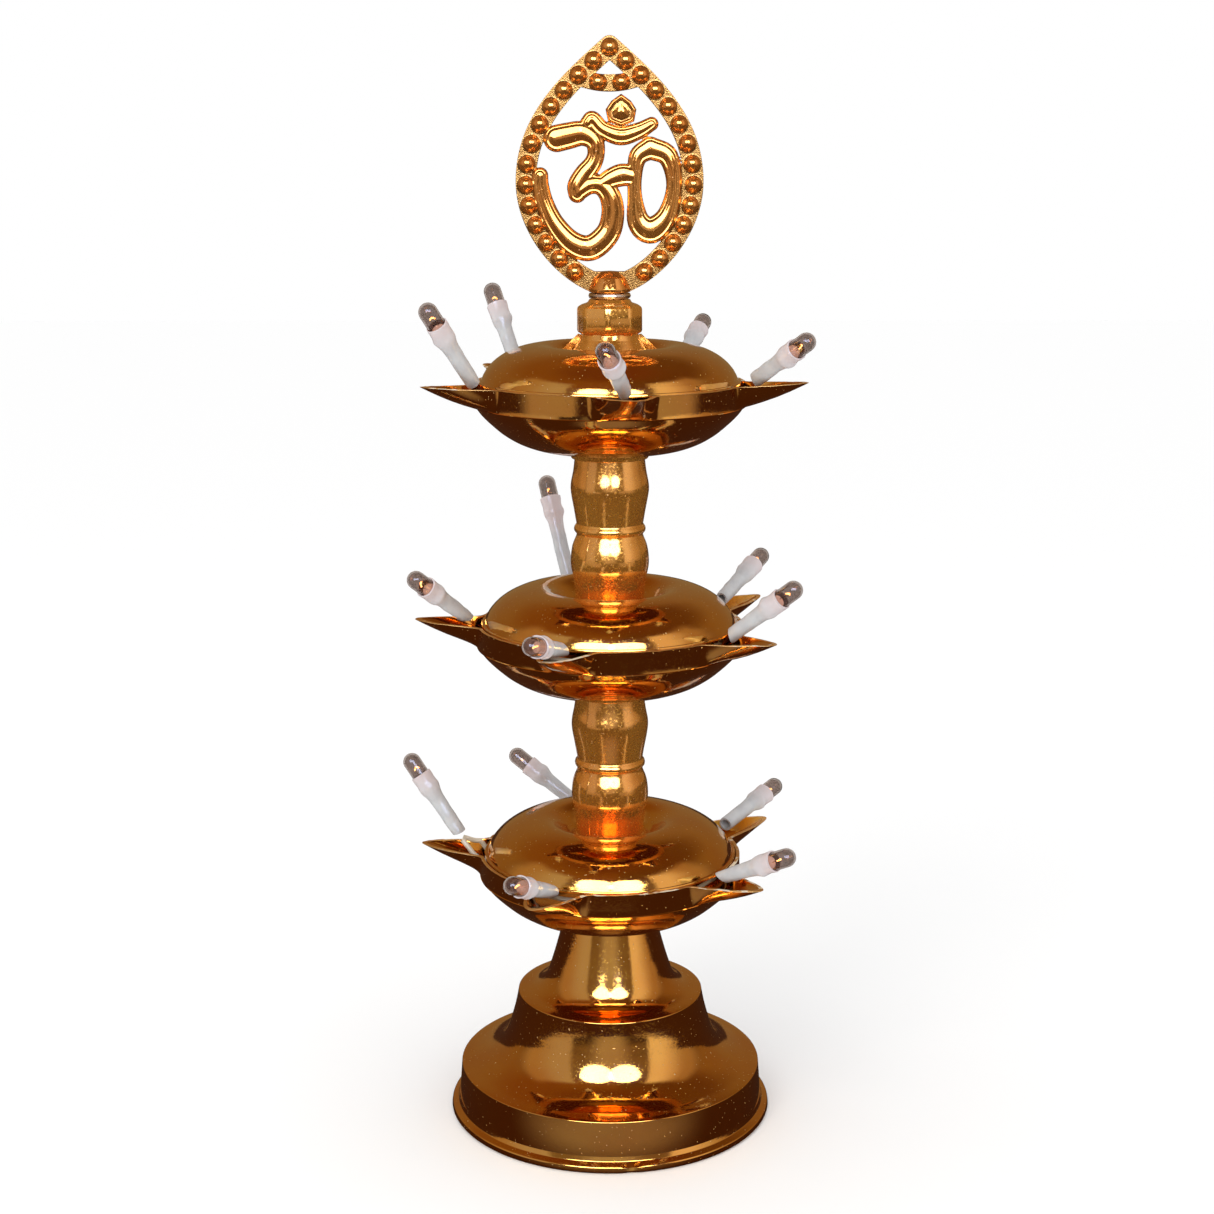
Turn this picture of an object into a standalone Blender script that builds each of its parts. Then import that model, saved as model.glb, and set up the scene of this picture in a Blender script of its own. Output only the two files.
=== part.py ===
"""Three-tier electric samai: a stepped base, two turned columns, three five-spouted bowls
with lids, fifteen miniature lamps in white sleeves and a pierced leaf-shaped finial.

The origin is on the axis, at the surface the base stands on. +Z is up and -Y is the front.
Profiles are given in millimetres as (radius, height) and become metres in the mesh.
"""
import math

import bmesh
import bpy
from mathutils import Matrix, Vector

MM = 0.001
GAP = 0.3                     # clearance between neighbouring pieces, mm

# Heights of the stack, mm
TIERS = ("lower", "middle", "upper")
FIRST_RIM = 80.0              # rim of the lowest bowl above the ground
TIER_STEP = 70.0              # from one bowl rim to the next
TOTAL_HEIGHT = 315.0

# Base
FOOT_RADIUS = 48.1
PLINTH_RADIUS = 45.0
PLINTH_TOP = 14.6
STEP_RADIUS = 27.4
STEP_TOP = 37.0
CONE_TOP_RADIUS = 13.6

# Bowls
BOWL_RADIUS = 38.6
BOWL_WALL = 0.9
BAND_HEIGHT = 6.4
BOWL_DEPTH = 19.6
SPOUTS = 5
SPOUT_REACH = 56.7            # axis to spout tip
SPOUT_ROOT = 40.0             # where the spout's half width is measured
SPOUT_HALF_WIDTH = 8.0
SPOUT_FULLNESS = 0.55         # 1 is a straight-sided point, less is a rounder leaf
TIP_LIFT = 1.0                # spout tips stand this much above the rim
TIER_TURN = {"lower": -5.0, "middle": 0.0, "upper": 24.0}

# Lids
LID_RADIUS = 37.3
LID_CREST = 10.8              # crest above the rim
LID_SEAT = 4.9                # top of the hollow middle above the rim
LID_WALL = 1.0

# Tie pipe and its hardware
PIPE_RADIUS = 4.0
PIPE_BORE = 2.6
PIPE_HOLE = PIPE_RADIUS + GAP
PIPE_BOTTOM = 46.0
PIPE_TOP = 237.0

# Cap nut
CAP_CORNER_RADIUS = 9.4
CAP_SIDES = 8
CAP_FLAT_BOTTOM = 233.8
CAP_FLAT_TOP = 241.4
CAP_TOP = 243.3

# Finial
FINIAL_BOTTOM = 245.2
FINIAL_HALF_WIDTH = 26.6
FINIAL_WIDEST = 275.5
FINIAL_BAND = 5.3
FINIAL_PLATE = 2.4
OM_THICKNESS = 4.4
BEAD_RADIUS = 2.1
BEADS_PER_SIDE = 13
STUD_RADIUS = 3.9
STUD_LENGTH = 5.6

# Lamps, lengths along the lamp from the sleeve's lower end
SEAT_RADIUS = 41.0            # the sleeve's lower end, from the axis
SEAT_RISE = 1.0               # and above the rim
SLEEVE_LENGTH = 21.4
LAMP_LENGTH = 28.5
BULB_RADIUS = 2.65
LEAD_RADIUS = 0.75

# How each lamp is bent, counter-clockwise from the left spout: lift above level, swing aside
LAMP_LEAN = {
    "lower": ((55, -10), (22, -2), (26, 2), (15, 17), (35, 60)),
    "middle": ((35, 50), (15, 0), (38, 2), (23, 19), (63, 11)),
    "upper": ((53, 19), (31, -20), (29, -43), (26, 9), (57, -8)),
}
# Two lamps are pulled out of their spouts: extra seat radius, extra rise, extra sleeve length
LAMP_PULLED = {("lower", 0): (4.1, 3.2, 0.0), ("middle", 4): (0.0, 3.7, 5.5)}

GOLD = (0.72, 0.42, 0.13)
GOLD_LIGHT = (0.86, 0.60, 0.27)
WHITE_PLASTIC = (0.80, 0.78, 0.78)
SMOKED_GLASS = (0.16, 0.12, 0.11)
IVORY = (0.82, 0.76, 0.62)
STEEL = (0.55, 0.55, 0.57)
BLACK_RUBBER = (0.03, 0.03, 0.03)


def clear_scene():
    for obj in list(bpy.data.objects):
        bpy.data.objects.remove(obj, do_unlink=True)


def material(name, colour, metallic, roughness, alpha=1.0):
    mat = bpy.data.materials.new(name)
    mat.use_nodes = True
    shader = mat.node_tree.nodes["Principled BSDF"]
    shader.inputs["Base Color"].default_value = (*colour, 1.0)
    shader.inputs["Metallic"].default_value = metallic
    shader.inputs["Roughness"].default_value = roughness
    shader.inputs["Alpha"].default_value = alpha
    return mat


def add_object(name, bm, colour, metallic=1.0, roughness=0.2, parent=None, alpha=1.0):
    """Make one named object from a bmesh that is already in metres."""
    bmesh.ops.recalc_face_normals(bm, faces=bm.faces[:])
    mesh = bpy.data.meshes.new(name)
    bm.to_mesh(mesh)
    bm.free()
    mesh.shade_smooth()
    mesh.set_sharp_from_angle(angle=math.radians(35))
    mesh.materials.append(material(name + "_finish", colour, metallic, roughness, alpha))
    obj = bpy.data.objects.new(name, mesh)
    bpy.context.collection.objects.link(obj)
    if parent is not None:
        obj.parent = parent
    return obj


def add_pivot(name, location=(0.0, 0.0, 0.0), rotation=None, parent=None):
    pivot = bpy.data.objects.new(name, None)
    bpy.context.collection.objects.link(pivot)
    matrix = Matrix.Translation(location)
    if rotation is not None:
        matrix = matrix @ rotation.to_matrix().to_4x4()
    pivot.parent = parent
    pivot.matrix_basis = matrix
    return pivot


def lathe(profile, segments, closed=True, phase=0.0):
    """Turn a profile of (radius, height) in mm about Z. closed joins its last point to its first,
    for a piece with a hole along the axis; otherwise both ends lie on the axis."""
    bm = bmesh.new()
    rings = []
    for radius, height in profile:
        if radius < 1e-6:
            rings.append([bm.verts.new((0.0, 0.0, height * MM))])
            continue
        ring = []
        for i in range(segments):
            angle = phase + 2 * math.pi * i / segments
            point = (radius * MM * math.cos(angle), radius * MM * math.sin(angle), height * MM)
            ring.append(bm.verts.new(point))
        rings.append(ring)
    pairs = list(zip(rings, rings[1:]))
    if closed:
        pairs.append((rings[-1], rings[0]))
    for a, b in pairs:
        for i in range(segments):
            j = (i + 1) % segments
            corners = [a[i % len(a)], a[j % len(a)], b[j % len(b)], b[i % len(b)]]
            unique = list(dict.fromkeys(corners))
            bm.faces.new(unique)
    return bm


def tube_along(points, radius, sides=8):
    """A closed round wire of the given radius through points, all in mm."""
    bm = bmesh.new()
    rings = []
    normal = None
    for i, point in enumerate(points):
        ahead = points[min(i + 1, len(points) - 1)] - points[max(i - 1, 0)]
        tangent = ahead.normalized()
        if normal is None:
            normal = tangent.orthogonal().normalized()
        normal = (normal - tangent * normal.dot(tangent)).normalized()
        binormal = tangent.cross(normal)
        ring = []
        for k in range(sides):
            angle = 2 * math.pi * k / sides
            offset = normal * math.cos(angle) + binormal * math.sin(angle)
            ring.append(bm.verts.new((point + offset * radius) * MM))
        rings.append(ring)
    for a, b in zip(rings, rings[1:]):
        for k in range(sides):
            m = (k + 1) % sides
            bm.faces.new((a[k], a[m], b[m], b[k]))
    bm.faces.new(rings[0])
    bm.faces.new(rings[-1])
    return bm


def smooth_route(points, per_span):
    """Catmull-Rom points through the given route, in mm."""
    route = [Vector(p) for p in points]
    padded = [2 * route[0] - route[1]] + route + [2 * route[-1] - route[-2]]
    out = []
    for i in range(1, len(padded) - 2):
        p0, p1, p2, p3 = padded[i - 1:i + 3]
        for step in range(per_span):
            t = step / per_span
            out.append(0.5 * (2 * p1 + (p2 - p0) * t + (2 * p0 - 5 * p1 + 4 * p2 - p3) * t * t
                              + (3 * p1 - p0 - 3 * p2 + p3) * t * t * t))
    out.append(route[-1])
    return out


def boolean(target, cutter, operation):
    """Apply a union or difference with the exact solver and drop the second object."""
    modifier = target.modifiers.new(operation, "BOOLEAN")
    modifier.operation = operation
    modifier.object = cutter
    modifier.solver = "EXACT"
    bpy.context.view_layer.update()
    evaluated = target.evaluated_get(bpy.context.evaluated_depsgraph_get())
    mesh = bpy.data.meshes.new_from_object(evaluated)
    target.modifiers.remove(modifier)
    target.data = mesh
    bpy.data.objects.remove(cutter, do_unlink=True)


# ---------------------------------------------------------------- base and stem

def base_outline():
    """Outer side of the base, from the foot's lip up to the top of the cone."""
    return [
        (47.2, 0.0), (FOOT_RADIUS, 0.9), (47.7, 2.2), (46.0, 3.1),
        (PLINTH_RADIUS, PLINTH_TOP - 0.4), (44.5, PLINTH_TOP), (40.4, 15.5), (35.8, 17.3),
        (31.9, 20.6), (29.8, 25.2), (STEP_RADIUS + 0.1, STEP_TOP - 0.4), (27.0, STEP_TOP),
        (22.6, 38.1), (19.3, 41.2), (17.3, 46.4),
        (CONE_TOP_RADIUS, FIRST_RIM - BOWL_DEPTH - GAP),
    ]


def base_inside():
    """Hollow of the base, from the pipe hole in the cone's top down to the foot."""
    top = FIRST_RIM - BOWL_DEPTH - GAP
    return [
        (PIPE_HOLE, top), (PIPE_HOLE, top - 1.6), (11.9, top - 1.6), (15.8, 46.0),
        (18.0, 40.3), (25.7, 35.8), (28.4, 24.6), (31.0, 19.4), (35.2, 16.0),
        (43.5, 13.2), (44.2, 3.1), (44.2, 0.0),
    ]


def make_base():
    shell = add_object("base_shell", lathe(base_outline() + base_inside(), 32), GOLD)
    hole = lathe([(0.0, -4.0), (2.7, -4.0), (2.7, 4.0), (0.0, 4.0)], 12, closed=False)
    cutter = add_object("inlet_cutter", hole, GOLD)
    cutter.matrix_basis = grommet_matrix()
    boolean(shell, cutter, "DIFFERENCE")
    cover = lathe([(0.0, 0.0), (43.9, 0.0), (43.9, 1.7), (0.0, 1.7)], 32, closed=False)
    add_object("base_cover", cover, (0.10, 0.09, 0.08), metallic=0.0, roughness=0.6)


def grommet_matrix():
    """The inlet points straight back through the middle of the plinth wall."""
    return Matrix.Translation((0.0, 44.7 * MM, 8.4 * MM)) @ Matrix.Rotation(-math.pi / 2, 4, "X")


def make_grommet():
    profile = [(1.7, -2.2), (3.6, -2.2), (3.6, -1.4), (2.4, -1.4), (2.4, 1.35), (3.5, 1.35),
               (3.4, 2.3), (1.7, 2.3)]
    grommet = add_object("cord_grommet", lathe(profile, 14), BLACK_RUBBER, 0.0, 0.7)
    grommet.matrix_basis = grommet_matrix()


def make_tie_hardware():
    pipe = lathe([(PIPE_RADIUS, PIPE_BOTTOM), (PIPE_RADIUS, PIPE_TOP), (PIPE_BORE, PIPE_TOP),
                  (PIPE_BORE, PIPE_BOTTOM)], 16)
    add_object("tie_pipe", pipe, STEEL, roughness=0.35)
    web_bottom = FIRST_RIM - BOWL_DEPTH - GAP - 1.6
    washer_top = web_bottom - GAP
    washer = lathe([(9.0, washer_top), (9.0, washer_top - 1.0), (PIPE_HOLE, washer_top - 1.0),
                    (PIPE_HOLE, washer_top)], 20)
    add_object("bottom_washer", washer, STEEL, roughness=0.35)
    nut_top = washer_top - 1.0 - GAP
    nut = lathe([(7.5, nut_top), (7.5, nut_top - 4.5), (PIPE_HOLE, nut_top - 4.5),
                 (PIPE_HOLE, nut_top)], 6)
    round_hole = lathe([(0.0, nut_top - 6), (PIPE_HOLE, nut_top - 6), (PIPE_HOLE, nut_top + 2),
                        (0.0, nut_top + 2)], 16, closed=False)
    nut_object = add_object("bottom_nut", nut, STEEL, roughness=0.35)
    cutter = add_object("nut_cutter", round_hole, STEEL)
    boolean(nut_object, cutter, "DIFFERENCE")


def column_profile(foot, head):
    """A turned column: foot ring, lower barrel, bead, upper barrel and head flange."""
    rise = head - foot
    outside = [
        (10.9, 0.0), (10.4, 1.6), (11.3, 11.5), (11.2, 16.0), (9.6, 21.2), (10.3, 22.2),
        (10.3, 23.4), (9.6, 24.5), (11.2, 33.5), (10.9, 38.0), (10.0, rise - 1.8),
        (11.1, rise - 1.7), (11.1, rise),
    ]
    inside = [(PIPE_HOLE, rise), (PIPE_HOLE, rise - 1.5), (7.9, rise - 1.5), (7.9, 0.0)]
    return [(radius, foot + height) for radius, height in outside + inside]


def make_columns():
    for index, name in enumerate(("column_lower", "column_upper")):
        rim = FIRST_RIM + TIER_STEP * index
        foot = rim + LID_SEAT + GAP
        head = rim + TIER_STEP - BOWL_DEPTH - GAP
        add_object(name, lathe(column_profile(foot, head), 20), GOLD_LIGHT)


def make_cap():
    seat = FIRST_RIM + 2 * TIER_STEP + LID_SEAT + GAP
    skirt = lathe([(12.4, seat), (12.3, seat + 0.9), (8.0, CAP_FLAT_BOTTOM), (8.0, CAP_FLAT_TOP - 1),
                   (PIPE_HOLE, CAP_FLAT_TOP - 1), (PIPE_HOLE, seat)], 24)
    cap = add_object("cap_nut", skirt, GOLD_LIGHT)
    corner = CAP_CORNER_RADIUS
    flats = lathe([(corner - 0.7, CAP_FLAT_BOTTOM), (corner, CAP_FLAT_BOTTOM + 0.6),
                   (corner, CAP_FLAT_TOP), (6.6, CAP_FLAT_TOP + 1.0), (5.9, CAP_TOP),
                   (STUD_RADIUS + GAP, CAP_TOP), (STUD_RADIUS + GAP, CAP_FLAT_BOTTOM)],
                  CAP_SIDES, phase=math.radians(41))
    boolean(cap, add_object("cap_flats", flats, GOLD_LIGHT), "UNION")
    bore = lathe([(0.0, seat - 1), (PIPE_HOLE, seat - 1), (PIPE_HOLE, CAP_TOP + 1),
                  (0.0, CAP_TOP + 1)], 24, closed=False)
    boolean(cap, add_object("cap_bore", bore, GOLD_LIGHT), "DIFFERENCE")


# ---------------------------------------------------------------- bowls, lids, spacers

def spout_ray(angle, reach, half_width):
    """Radius where a ray at this angle from the spout's middle leaves the leaf-shaped spout."""
    near, far = 0.0, reach
    for _ in range(30):
        middle = (near + far) / 2
        along = middle * math.cos(angle)
        share = min(max((reach - along) / (reach - SPOUT_ROOT), 0.0), 3.0)
        if middle * math.sin(angle) < half_width * share ** SPOUT_FULLNESS:
            near = middle
        else:
            far = middle
    return near


def smooth_max(a, b, width):
    mix = min(max(0.5 + 0.5 * (a - b) / width, 0.0), 1.0)
    return b + (a - b) * mix + width * mix * (1 - mix)


def rim_radius(angle, inset):
    """Plan of the rim: a circle that flares into a spout. inset is the wall on the inner rim."""
    reach = SPOUT_REACH - 2.0 * inset
    spout = spout_ray(abs(angle), reach, SPOUT_HALF_WIDTH - inset)
    return smooth_max(spout, BOWL_RADIUS - inset, 2.2)


def tip_rise(radius):
    """The rim rises gently along a spout to the tip."""
    share = max(radius - BOWL_RADIUS, 0.0) / (SPOUT_REACH - BOWL_RADIUS)
    return TIP_LIFT * min(share, 1.0) ** 1.5


def bowl_rows(angle, rim):
    """One radial section of a bowl, from the pipe hole underneath, over the rim and back."""
    bottom = rim - BOWL_DEPTH
    band = rim - BAND_HEIGHT
    outer_rim = rim_radius(angle, 0.0)
    inner_rim = rim_radius(angle, BOWL_WALL)
    return [
        (PIPE_HOLE, bottom), (15.0, bottom), (23.5, bottom + 1.5), (30.5, bottom + 5.2),
        (35.6, bottom + 9.6), (BOWL_RADIUS, band),
        (outer_rim, rim + tip_rise(outer_rim)), (inner_rim, rim + tip_rise(outer_rim)),
        (BOWL_RADIUS - BOWL_WALL, band + 0.6), (34.7, bottom + 10.1), (29.9, bottom + 6.2),
        (23.1, bottom + 2.5), (14.7, bottom + BOWL_WALL), (PIPE_HOLE, bottom + BOWL_WALL),
    ]


def make_bowl(tier, rim, pivot):
    half_angles = [0.0, 1.4, 4.0, 8.0, 13.0, 20.0]
    sector = half_angles[::-1] + [-a for a in half_angles[1:]]
    offsets = [-a for a in sector] + [180.0 / SPOUTS]
    columns = []
    for spout in range(SPOUTS):
        for offset in offsets:
            columns.append((180.0 + spout * 360.0 / SPOUTS + offset, offset))
    bm = bmesh.new()
    rings = []
    for heading, offset in columns:
        turn = math.radians(heading)
        ring = []
        for radius, height in bowl_rows(math.radians(offset), rim):
            ring.append(bm.verts.new((radius * MM * math.cos(turn), radius * MM * math.sin(turn),
                                      height * MM)))
        rings.append(ring)
    for i, ring in enumerate(rings):
        other = rings[(i + 1) % len(rings)]
        for row in range(len(ring)):
            after = (row + 1) % len(ring)
            bm.faces.new((ring[row], other[row], other[after], ring[after]))
    add_object("bowl_" + tier, bm, GOLD, parent=pivot)


def make_lid(tier, rim, pivot):
    outside = [(LID_RADIUS, rim - 0.3), (36.3, rim + 2.3), (33.0, rim + 6.1),
               (27.6, rim + 9.2), (20.2, rim + LID_CREST), (16.4, rim + 9.4),
               (12.6, rim + LID_SEAT), (PIPE_HOLE, rim + LID_SEAT)]
    inside = [(PIPE_HOLE, rim + LID_SEAT - LID_WALL), (13.1, rim + LID_SEAT - LID_WALL),
              (17.0, rim + 8.4), (20.2, rim + LID_CREST - LID_WALL), (27.2, rim + 8.3),
              (32.3, rim + 5.4), (LID_RADIUS - LID_WALL, rim - 0.3)]
    add_object("lid_" + tier, lathe(outside + inside, 28), GOLD, parent=pivot)


def make_spacer(tier, rim, pivot):
    low = rim - BOWL_DEPTH + BOWL_WALL + GAP
    high = rim + LID_SEAT - LID_WALL - GAP
    profile = [(6.5, low), (6.5, high), (PIPE_HOLE + 0.2, high), (PIPE_HOLE + 0.2, low)]
    add_object("spacer_" + tier, lathe(profile, 16), WHITE_PLASTIC, 0.0, 0.5, parent=pivot)


def make_harness(tier, rim, pivot):
    """Ring of lead wire under the lid."""
    ring_radius = 33.0
    height = rim - 4.0
    profile = []
    for k in range(5):
        angle = 2 * math.pi * k / 5
        profile.append((ring_radius + math.cos(angle) * LEAD_RADIUS,
                        height + math.sin(angle) * LEAD_RADIUS))
    add_object("harness_" + tier, lathe(profile, 20), IVORY, 0.0, 0.5, parent=pivot)


# ---------------------------------------------------------------- lamps

def sleeve_profile(extra):
    """White sleeve: a slim tube with a lump and a wider mouth that grips the bulb."""
    mouth = SLEEVE_LENGTH + extra
    return [
        (2.3, 0.0), (2.3, mouth - 8.4), (3.1, mouth - 5.2), (3.2, mouth),
        (BULB_RADIUS + 0.25, mouth), (BULB_RADIUS + 0.25, mouth - 4.6),
        (1.7, mouth - 6.6), (1.6, 0.0),
    ]


def bulb_profile(extra):
    mouth = SLEEVE_LENGTH + extra
    tip = LAMP_LENGTH + extra
    return [(0.0, mouth - 4.2), (BULB_RADIUS, mouth - 4.2), (BULB_RADIUS, tip - 2.7),
            (2.3, tip - 1.3), (1.3, tip - 0.35), (0.0, tip)]


def lamp_direction(heading, lift, swing):
    """Direction of a lamp that stands in the spout at this heading."""
    level = math.radians(heading + swing)
    rise = math.radians(lift)
    return Vector((math.cos(level) * math.cos(rise), math.sin(level) * math.cos(rise), math.sin(rise)))


def make_lamp(tier, index, rim, pivot):
    lift, swing = LAMP_LEAN[tier][index]
    more_radius, more_rise, extra = LAMP_PULLED.get((tier, index), (0.0, 0.0, 0.0))
    heading = 180.0 + index * 360.0 / SPOUTS
    angle = math.radians(heading)
    seat_radius = (SEAT_RADIUS + more_radius) * MM
    seat = Vector((seat_radius * math.cos(angle), seat_radius * math.sin(angle),
                   (rim + SEAT_RISE + more_rise) * MM))
    direction = lamp_direction(heading, lift, swing)
    label = f"{tier}_{index + 1}"
    lamp = add_pivot("lamp_" + label, seat, Vector((0, 0, 1)).rotation_difference(direction), pivot)
    sleeve = lathe(sleeve_profile(extra), 8)
    add_object("sleeve_" + label, sleeve, WHITE_PLASTIC, 0.0, 0.35, parent=lamp)
    bulb = lathe(bulb_profile(extra), 8, closed=False)
    add_object("bulb_" + label, bulb, SMOKED_GLASS, 0.0, 0.05, parent=lamp, alpha=0.5)


def make_tier(tier, index):
    rim = FIRST_RIM + TIER_STEP * index
    turn = Matrix.Rotation(math.radians(TIER_TURN[tier]), 3, "Z").to_quaternion()
    pivot = add_pivot("tier_" + tier, rotation=turn)
    make_bowl(tier, rim, pivot)
    make_lid(tier, rim, pivot)
    make_spacer(tier, rim, pivot)
    make_harness(tier, rim, pivot)
    for lamp in range(SPOUTS):
        make_lamp(tier, lamp, rim, pivot)
    return pivot


def make_visible_leads(pivot):
    """Two ivory wires leave the open end of the lamp that is pulled out of the left spout.
    One runs over the lid's edge and in beside the harness, the other down into the spout."""
    rim = FIRST_RIM
    over = smooth_route([(-44.2, 1.2, rim + 2.6), (-41.5, 2.6, rim + 1.3), (-39.4, 3.6, rim + 0.6),
                         (-38.0, 4.2, rim - 1.5), (-36.6, 4.6, rim - 3.4)], 4)
    add_object("lead_over_rim", tube_along(over, LEAD_RADIUS, 6), IVORY, 0.0, 0.5, parent=pivot)
    into = smooth_route([(-44.2, -1.2, rim + 2.6), (-42.2, -1.6, rim + 0.2),
                         (-40.2, -2.0, rim - 2.0), (-37.0, -2.4, rim - 3.6)], 4)
    add_object("lead_into_spout", tube_along(into, LEAD_RADIUS, 6), IVORY, 0.0, 0.5, parent=pivot)


def make_trunk_lead():
    """Pair of wires from behind the inlet bush up inside the pipe."""
    route = smooth_route([(0, 42.0, 8.4), (0, 36.0, 8.4), (0, 24.0, 9.5), (0, 10.0, 17.0),
                          (0, 2.0, 30.0), (0, 0.0, 42.0), (0, 0, 60.0)], 4)
    route.append(Vector((0, 0, 226.0)))
    add_object("trunk_lead", tube_along(route, 1.4, 8), IVORY, 0.0, 0.5)


# ---------------------------------------------------------------- finial

def bezier(p0, p1, p2, p3, steps):
    points = []
    for i in range(steps):
        t = i / steps
        s = 1 - t
        points.append(tuple(s ** 3 * a + 3 * s * s * t * b + 3 * s * t * t * c + t ** 3 * d
                            for a, b, c, d in zip(p0, p1, p2, p3)))
    return points


def leaf_side(steps):
    """Right side of the leaf outline, from the apex round to the neck, as (x, z) in mm."""
    apex = (1.0, TOTAL_HEIGHT)
    shoulder = (FINIAL_HALF_WIDTH, FINIAL_WIDEST)
    upper = bezier(apex, (13.6, 304.2), (FINIAL_HALF_WIDTH, 293.2), shoulder, steps)
    neck = (5.4, FINIAL_BOTTOM)
    lower = bezier(shoulder, (FINIAL_HALF_WIDTH, 262.0), (15.6, 249.4), neck, steps)
    return upper + lower + [neck]


def mirrored(side):
    return side + [(-x, z) for x, z in reversed(side)]


def inset_side(side, distance):
    """Move an open line of (x, z) towards its right-hand side."""
    moved = []
    for i, (x, z) in enumerate(side):
        before = side[max(i - 1, 0)]
        after = side[min(i + 1, len(side) - 1)]
        run = math.hypot(after[0] - before[0], after[1] - before[1])
        nx = (after[1] - before[1]) / run
        nz = -(after[0] - before[0]) / run
        moved.append((x + nx * distance, z + nz * distance))
    return moved


def slab(outline, thickness):
    """Extrude an outline of (x, z) in mm by a thickness along Y, centred on the axis plane."""
    bm = bmesh.new()
    front = [bm.verts.new((x * MM, -thickness / 2 * MM, z * MM)) for x, z in outline]
    back = [bm.verts.new((x * MM, thickness / 2 * MM, z * MM)) for x, z in outline]
    bm.faces.new(front)
    bm.faces.new(back)
    for i in range(len(outline)):
        j = (i + 1) % len(outline)
        bm.faces.new((front[i], front[j], back[j], back[i]))
    bmesh.ops.triangulate(bm, faces=[f for f in bm.faces if len(f.verts) > 4])
    return bm


def stroke_segment(start, end, thickness):
    """Straight piece of a brush stroke between two points (x, z, width), with round ends."""
    bm = bmesh.new()
    for x, z, width in (start, end):
        for cx, cz in ellipse(x, z, width / 2, width / 2, 7):
            for y in (-thickness / 2, thickness / 2):
                bm.verts.new((cx * MM, y * MM, cz * MM))
    hull = bmesh.ops.convex_hull(bm, input=bm.verts[:])
    spare = {v for v in hull["geom_interior"] + hull["geom_unused"]
             if isinstance(v, bmesh.types.BMVert)}
    bmesh.ops.delete(bm, geom=list(spare), context="VERTS")
    bmesh.ops.dissolve_limit(bm, angle_limit=0.01, verts=bm.verts[:], edges=bm.edges[:])
    bmesh.ops.triangulate(bm, faces=[f for f in bm.faces if len(f.verts) > 4])
    return bm


def ellipse(cx, cz, rx, rz, steps):
    points = []
    for i in range(steps):
        angle = 2 * math.pi * i / steps
        points.append((cx + rx * math.cos(angle), cz + rz * math.sin(angle)))
    return points


# The pierced sign in the leaf: strokes as (x, z, width), mm
UPPER_ARM = [(-14.9, 288.0, 7.2), (-6.2, 288.6, 6.2), (-3.6, 283.2, 5.4), (-8.8, 276.2, 5.4),
             (-9.4, 273.2, 4.6)]
LOWER_ARM = [(-9.0, 272.6, 4.8), (-3.2, 275.2, 5.2), (0.8, 270.4, 6.6), (0.6, 262.4, 7.0),
             (-6.0, 258.2, 7.1), (-13.2, 261.6, 6.0), (-18.1, 268.9, 5.2), (-19.5, 277.6, 4.5)]
HOOK = [(-1.9, 276.8, 4.6), (2.6, 278.6, 6.4), (8.0, 278.2, 6.8)]
CRESCENT = [(-6.2, 294.0, 4.6), (2.8, 289.1, 5.6), (11.8, 292.6, 4.0)]
DROP = [(3.2, 300.6), (6.4, 298.2), (7.0, 295.4), (5.4, 291.4), (1.2, 291.4), (-0.6, 295.4),
        (0.2, 298.2)]
LOOP_OUTER = (12.6, 274.6, 6.9, 14.2)
LOOP_INNER = (12.5, 274.6, 2.7, 8.2)


def temp(bm):
    return add_object("finial_piece", bm, GOLD_LIGHT)


def bead_centres():
    """Evenly spaced points along the middle of the leaf's band, apex first."""
    line = inset_side(leaf_side(24), FINIAL_BAND / 2)
    line = [point for point in line if point[0] > 0.0]
    line.insert(0, (0.0, TOTAL_HEIGHT - 3.1))
    lengths = [0.0]
    for a, b in zip(line, line[1:]):
        lengths.append(lengths[-1] + math.hypot(b[0] - a[0], b[1] - a[1]))
    spacing = (lengths[-1] - 5.4) / BEADS_PER_SIDE
    centres = [line[0]]
    for count in range(1, BEADS_PER_SIDE + 1):
        target = count * spacing
        i = next(k for k in range(1, len(lengths)) if lengths[k] >= target)
        share = (target - lengths[i - 1]) / (lengths[i] - lengths[i - 1])
        x = line[i - 1][0] + share * (line[i][0] - line[i - 1][0])
        z = line[i - 1][1] + share * (line[i][1] - line[i - 1][1])
        centres += [(x, z), (-x, z)]
    return centres + [(-3.2, 302.8), (3.2, 302.8)]


def make_finial_plate():
    plate = add_object("finial", slab(mirrored(leaf_side(7)), FINIAL_PLATE), GOLD_LIGHT)
    crossbar_bottom = 300.4
    side = [p for p in inset_side(leaf_side(7), FINIAL_BAND) if 0.5 < p[0] and p[1] < crossbar_bottom]
    window = mirrored([(7.2, crossbar_bottom)] + side)
    boolean(plate, temp(slab(window, 3 * FINIAL_PLATE)), "DIFFERENCE")
    small_hole = [(-2.9, 305.2), (2.9, 305.2), (0.0, 308.2)]
    boolean(plate, temp(slab(small_hole, 3 * FINIAL_PLATE)), "DIFFERENCE")
    return plate


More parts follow.
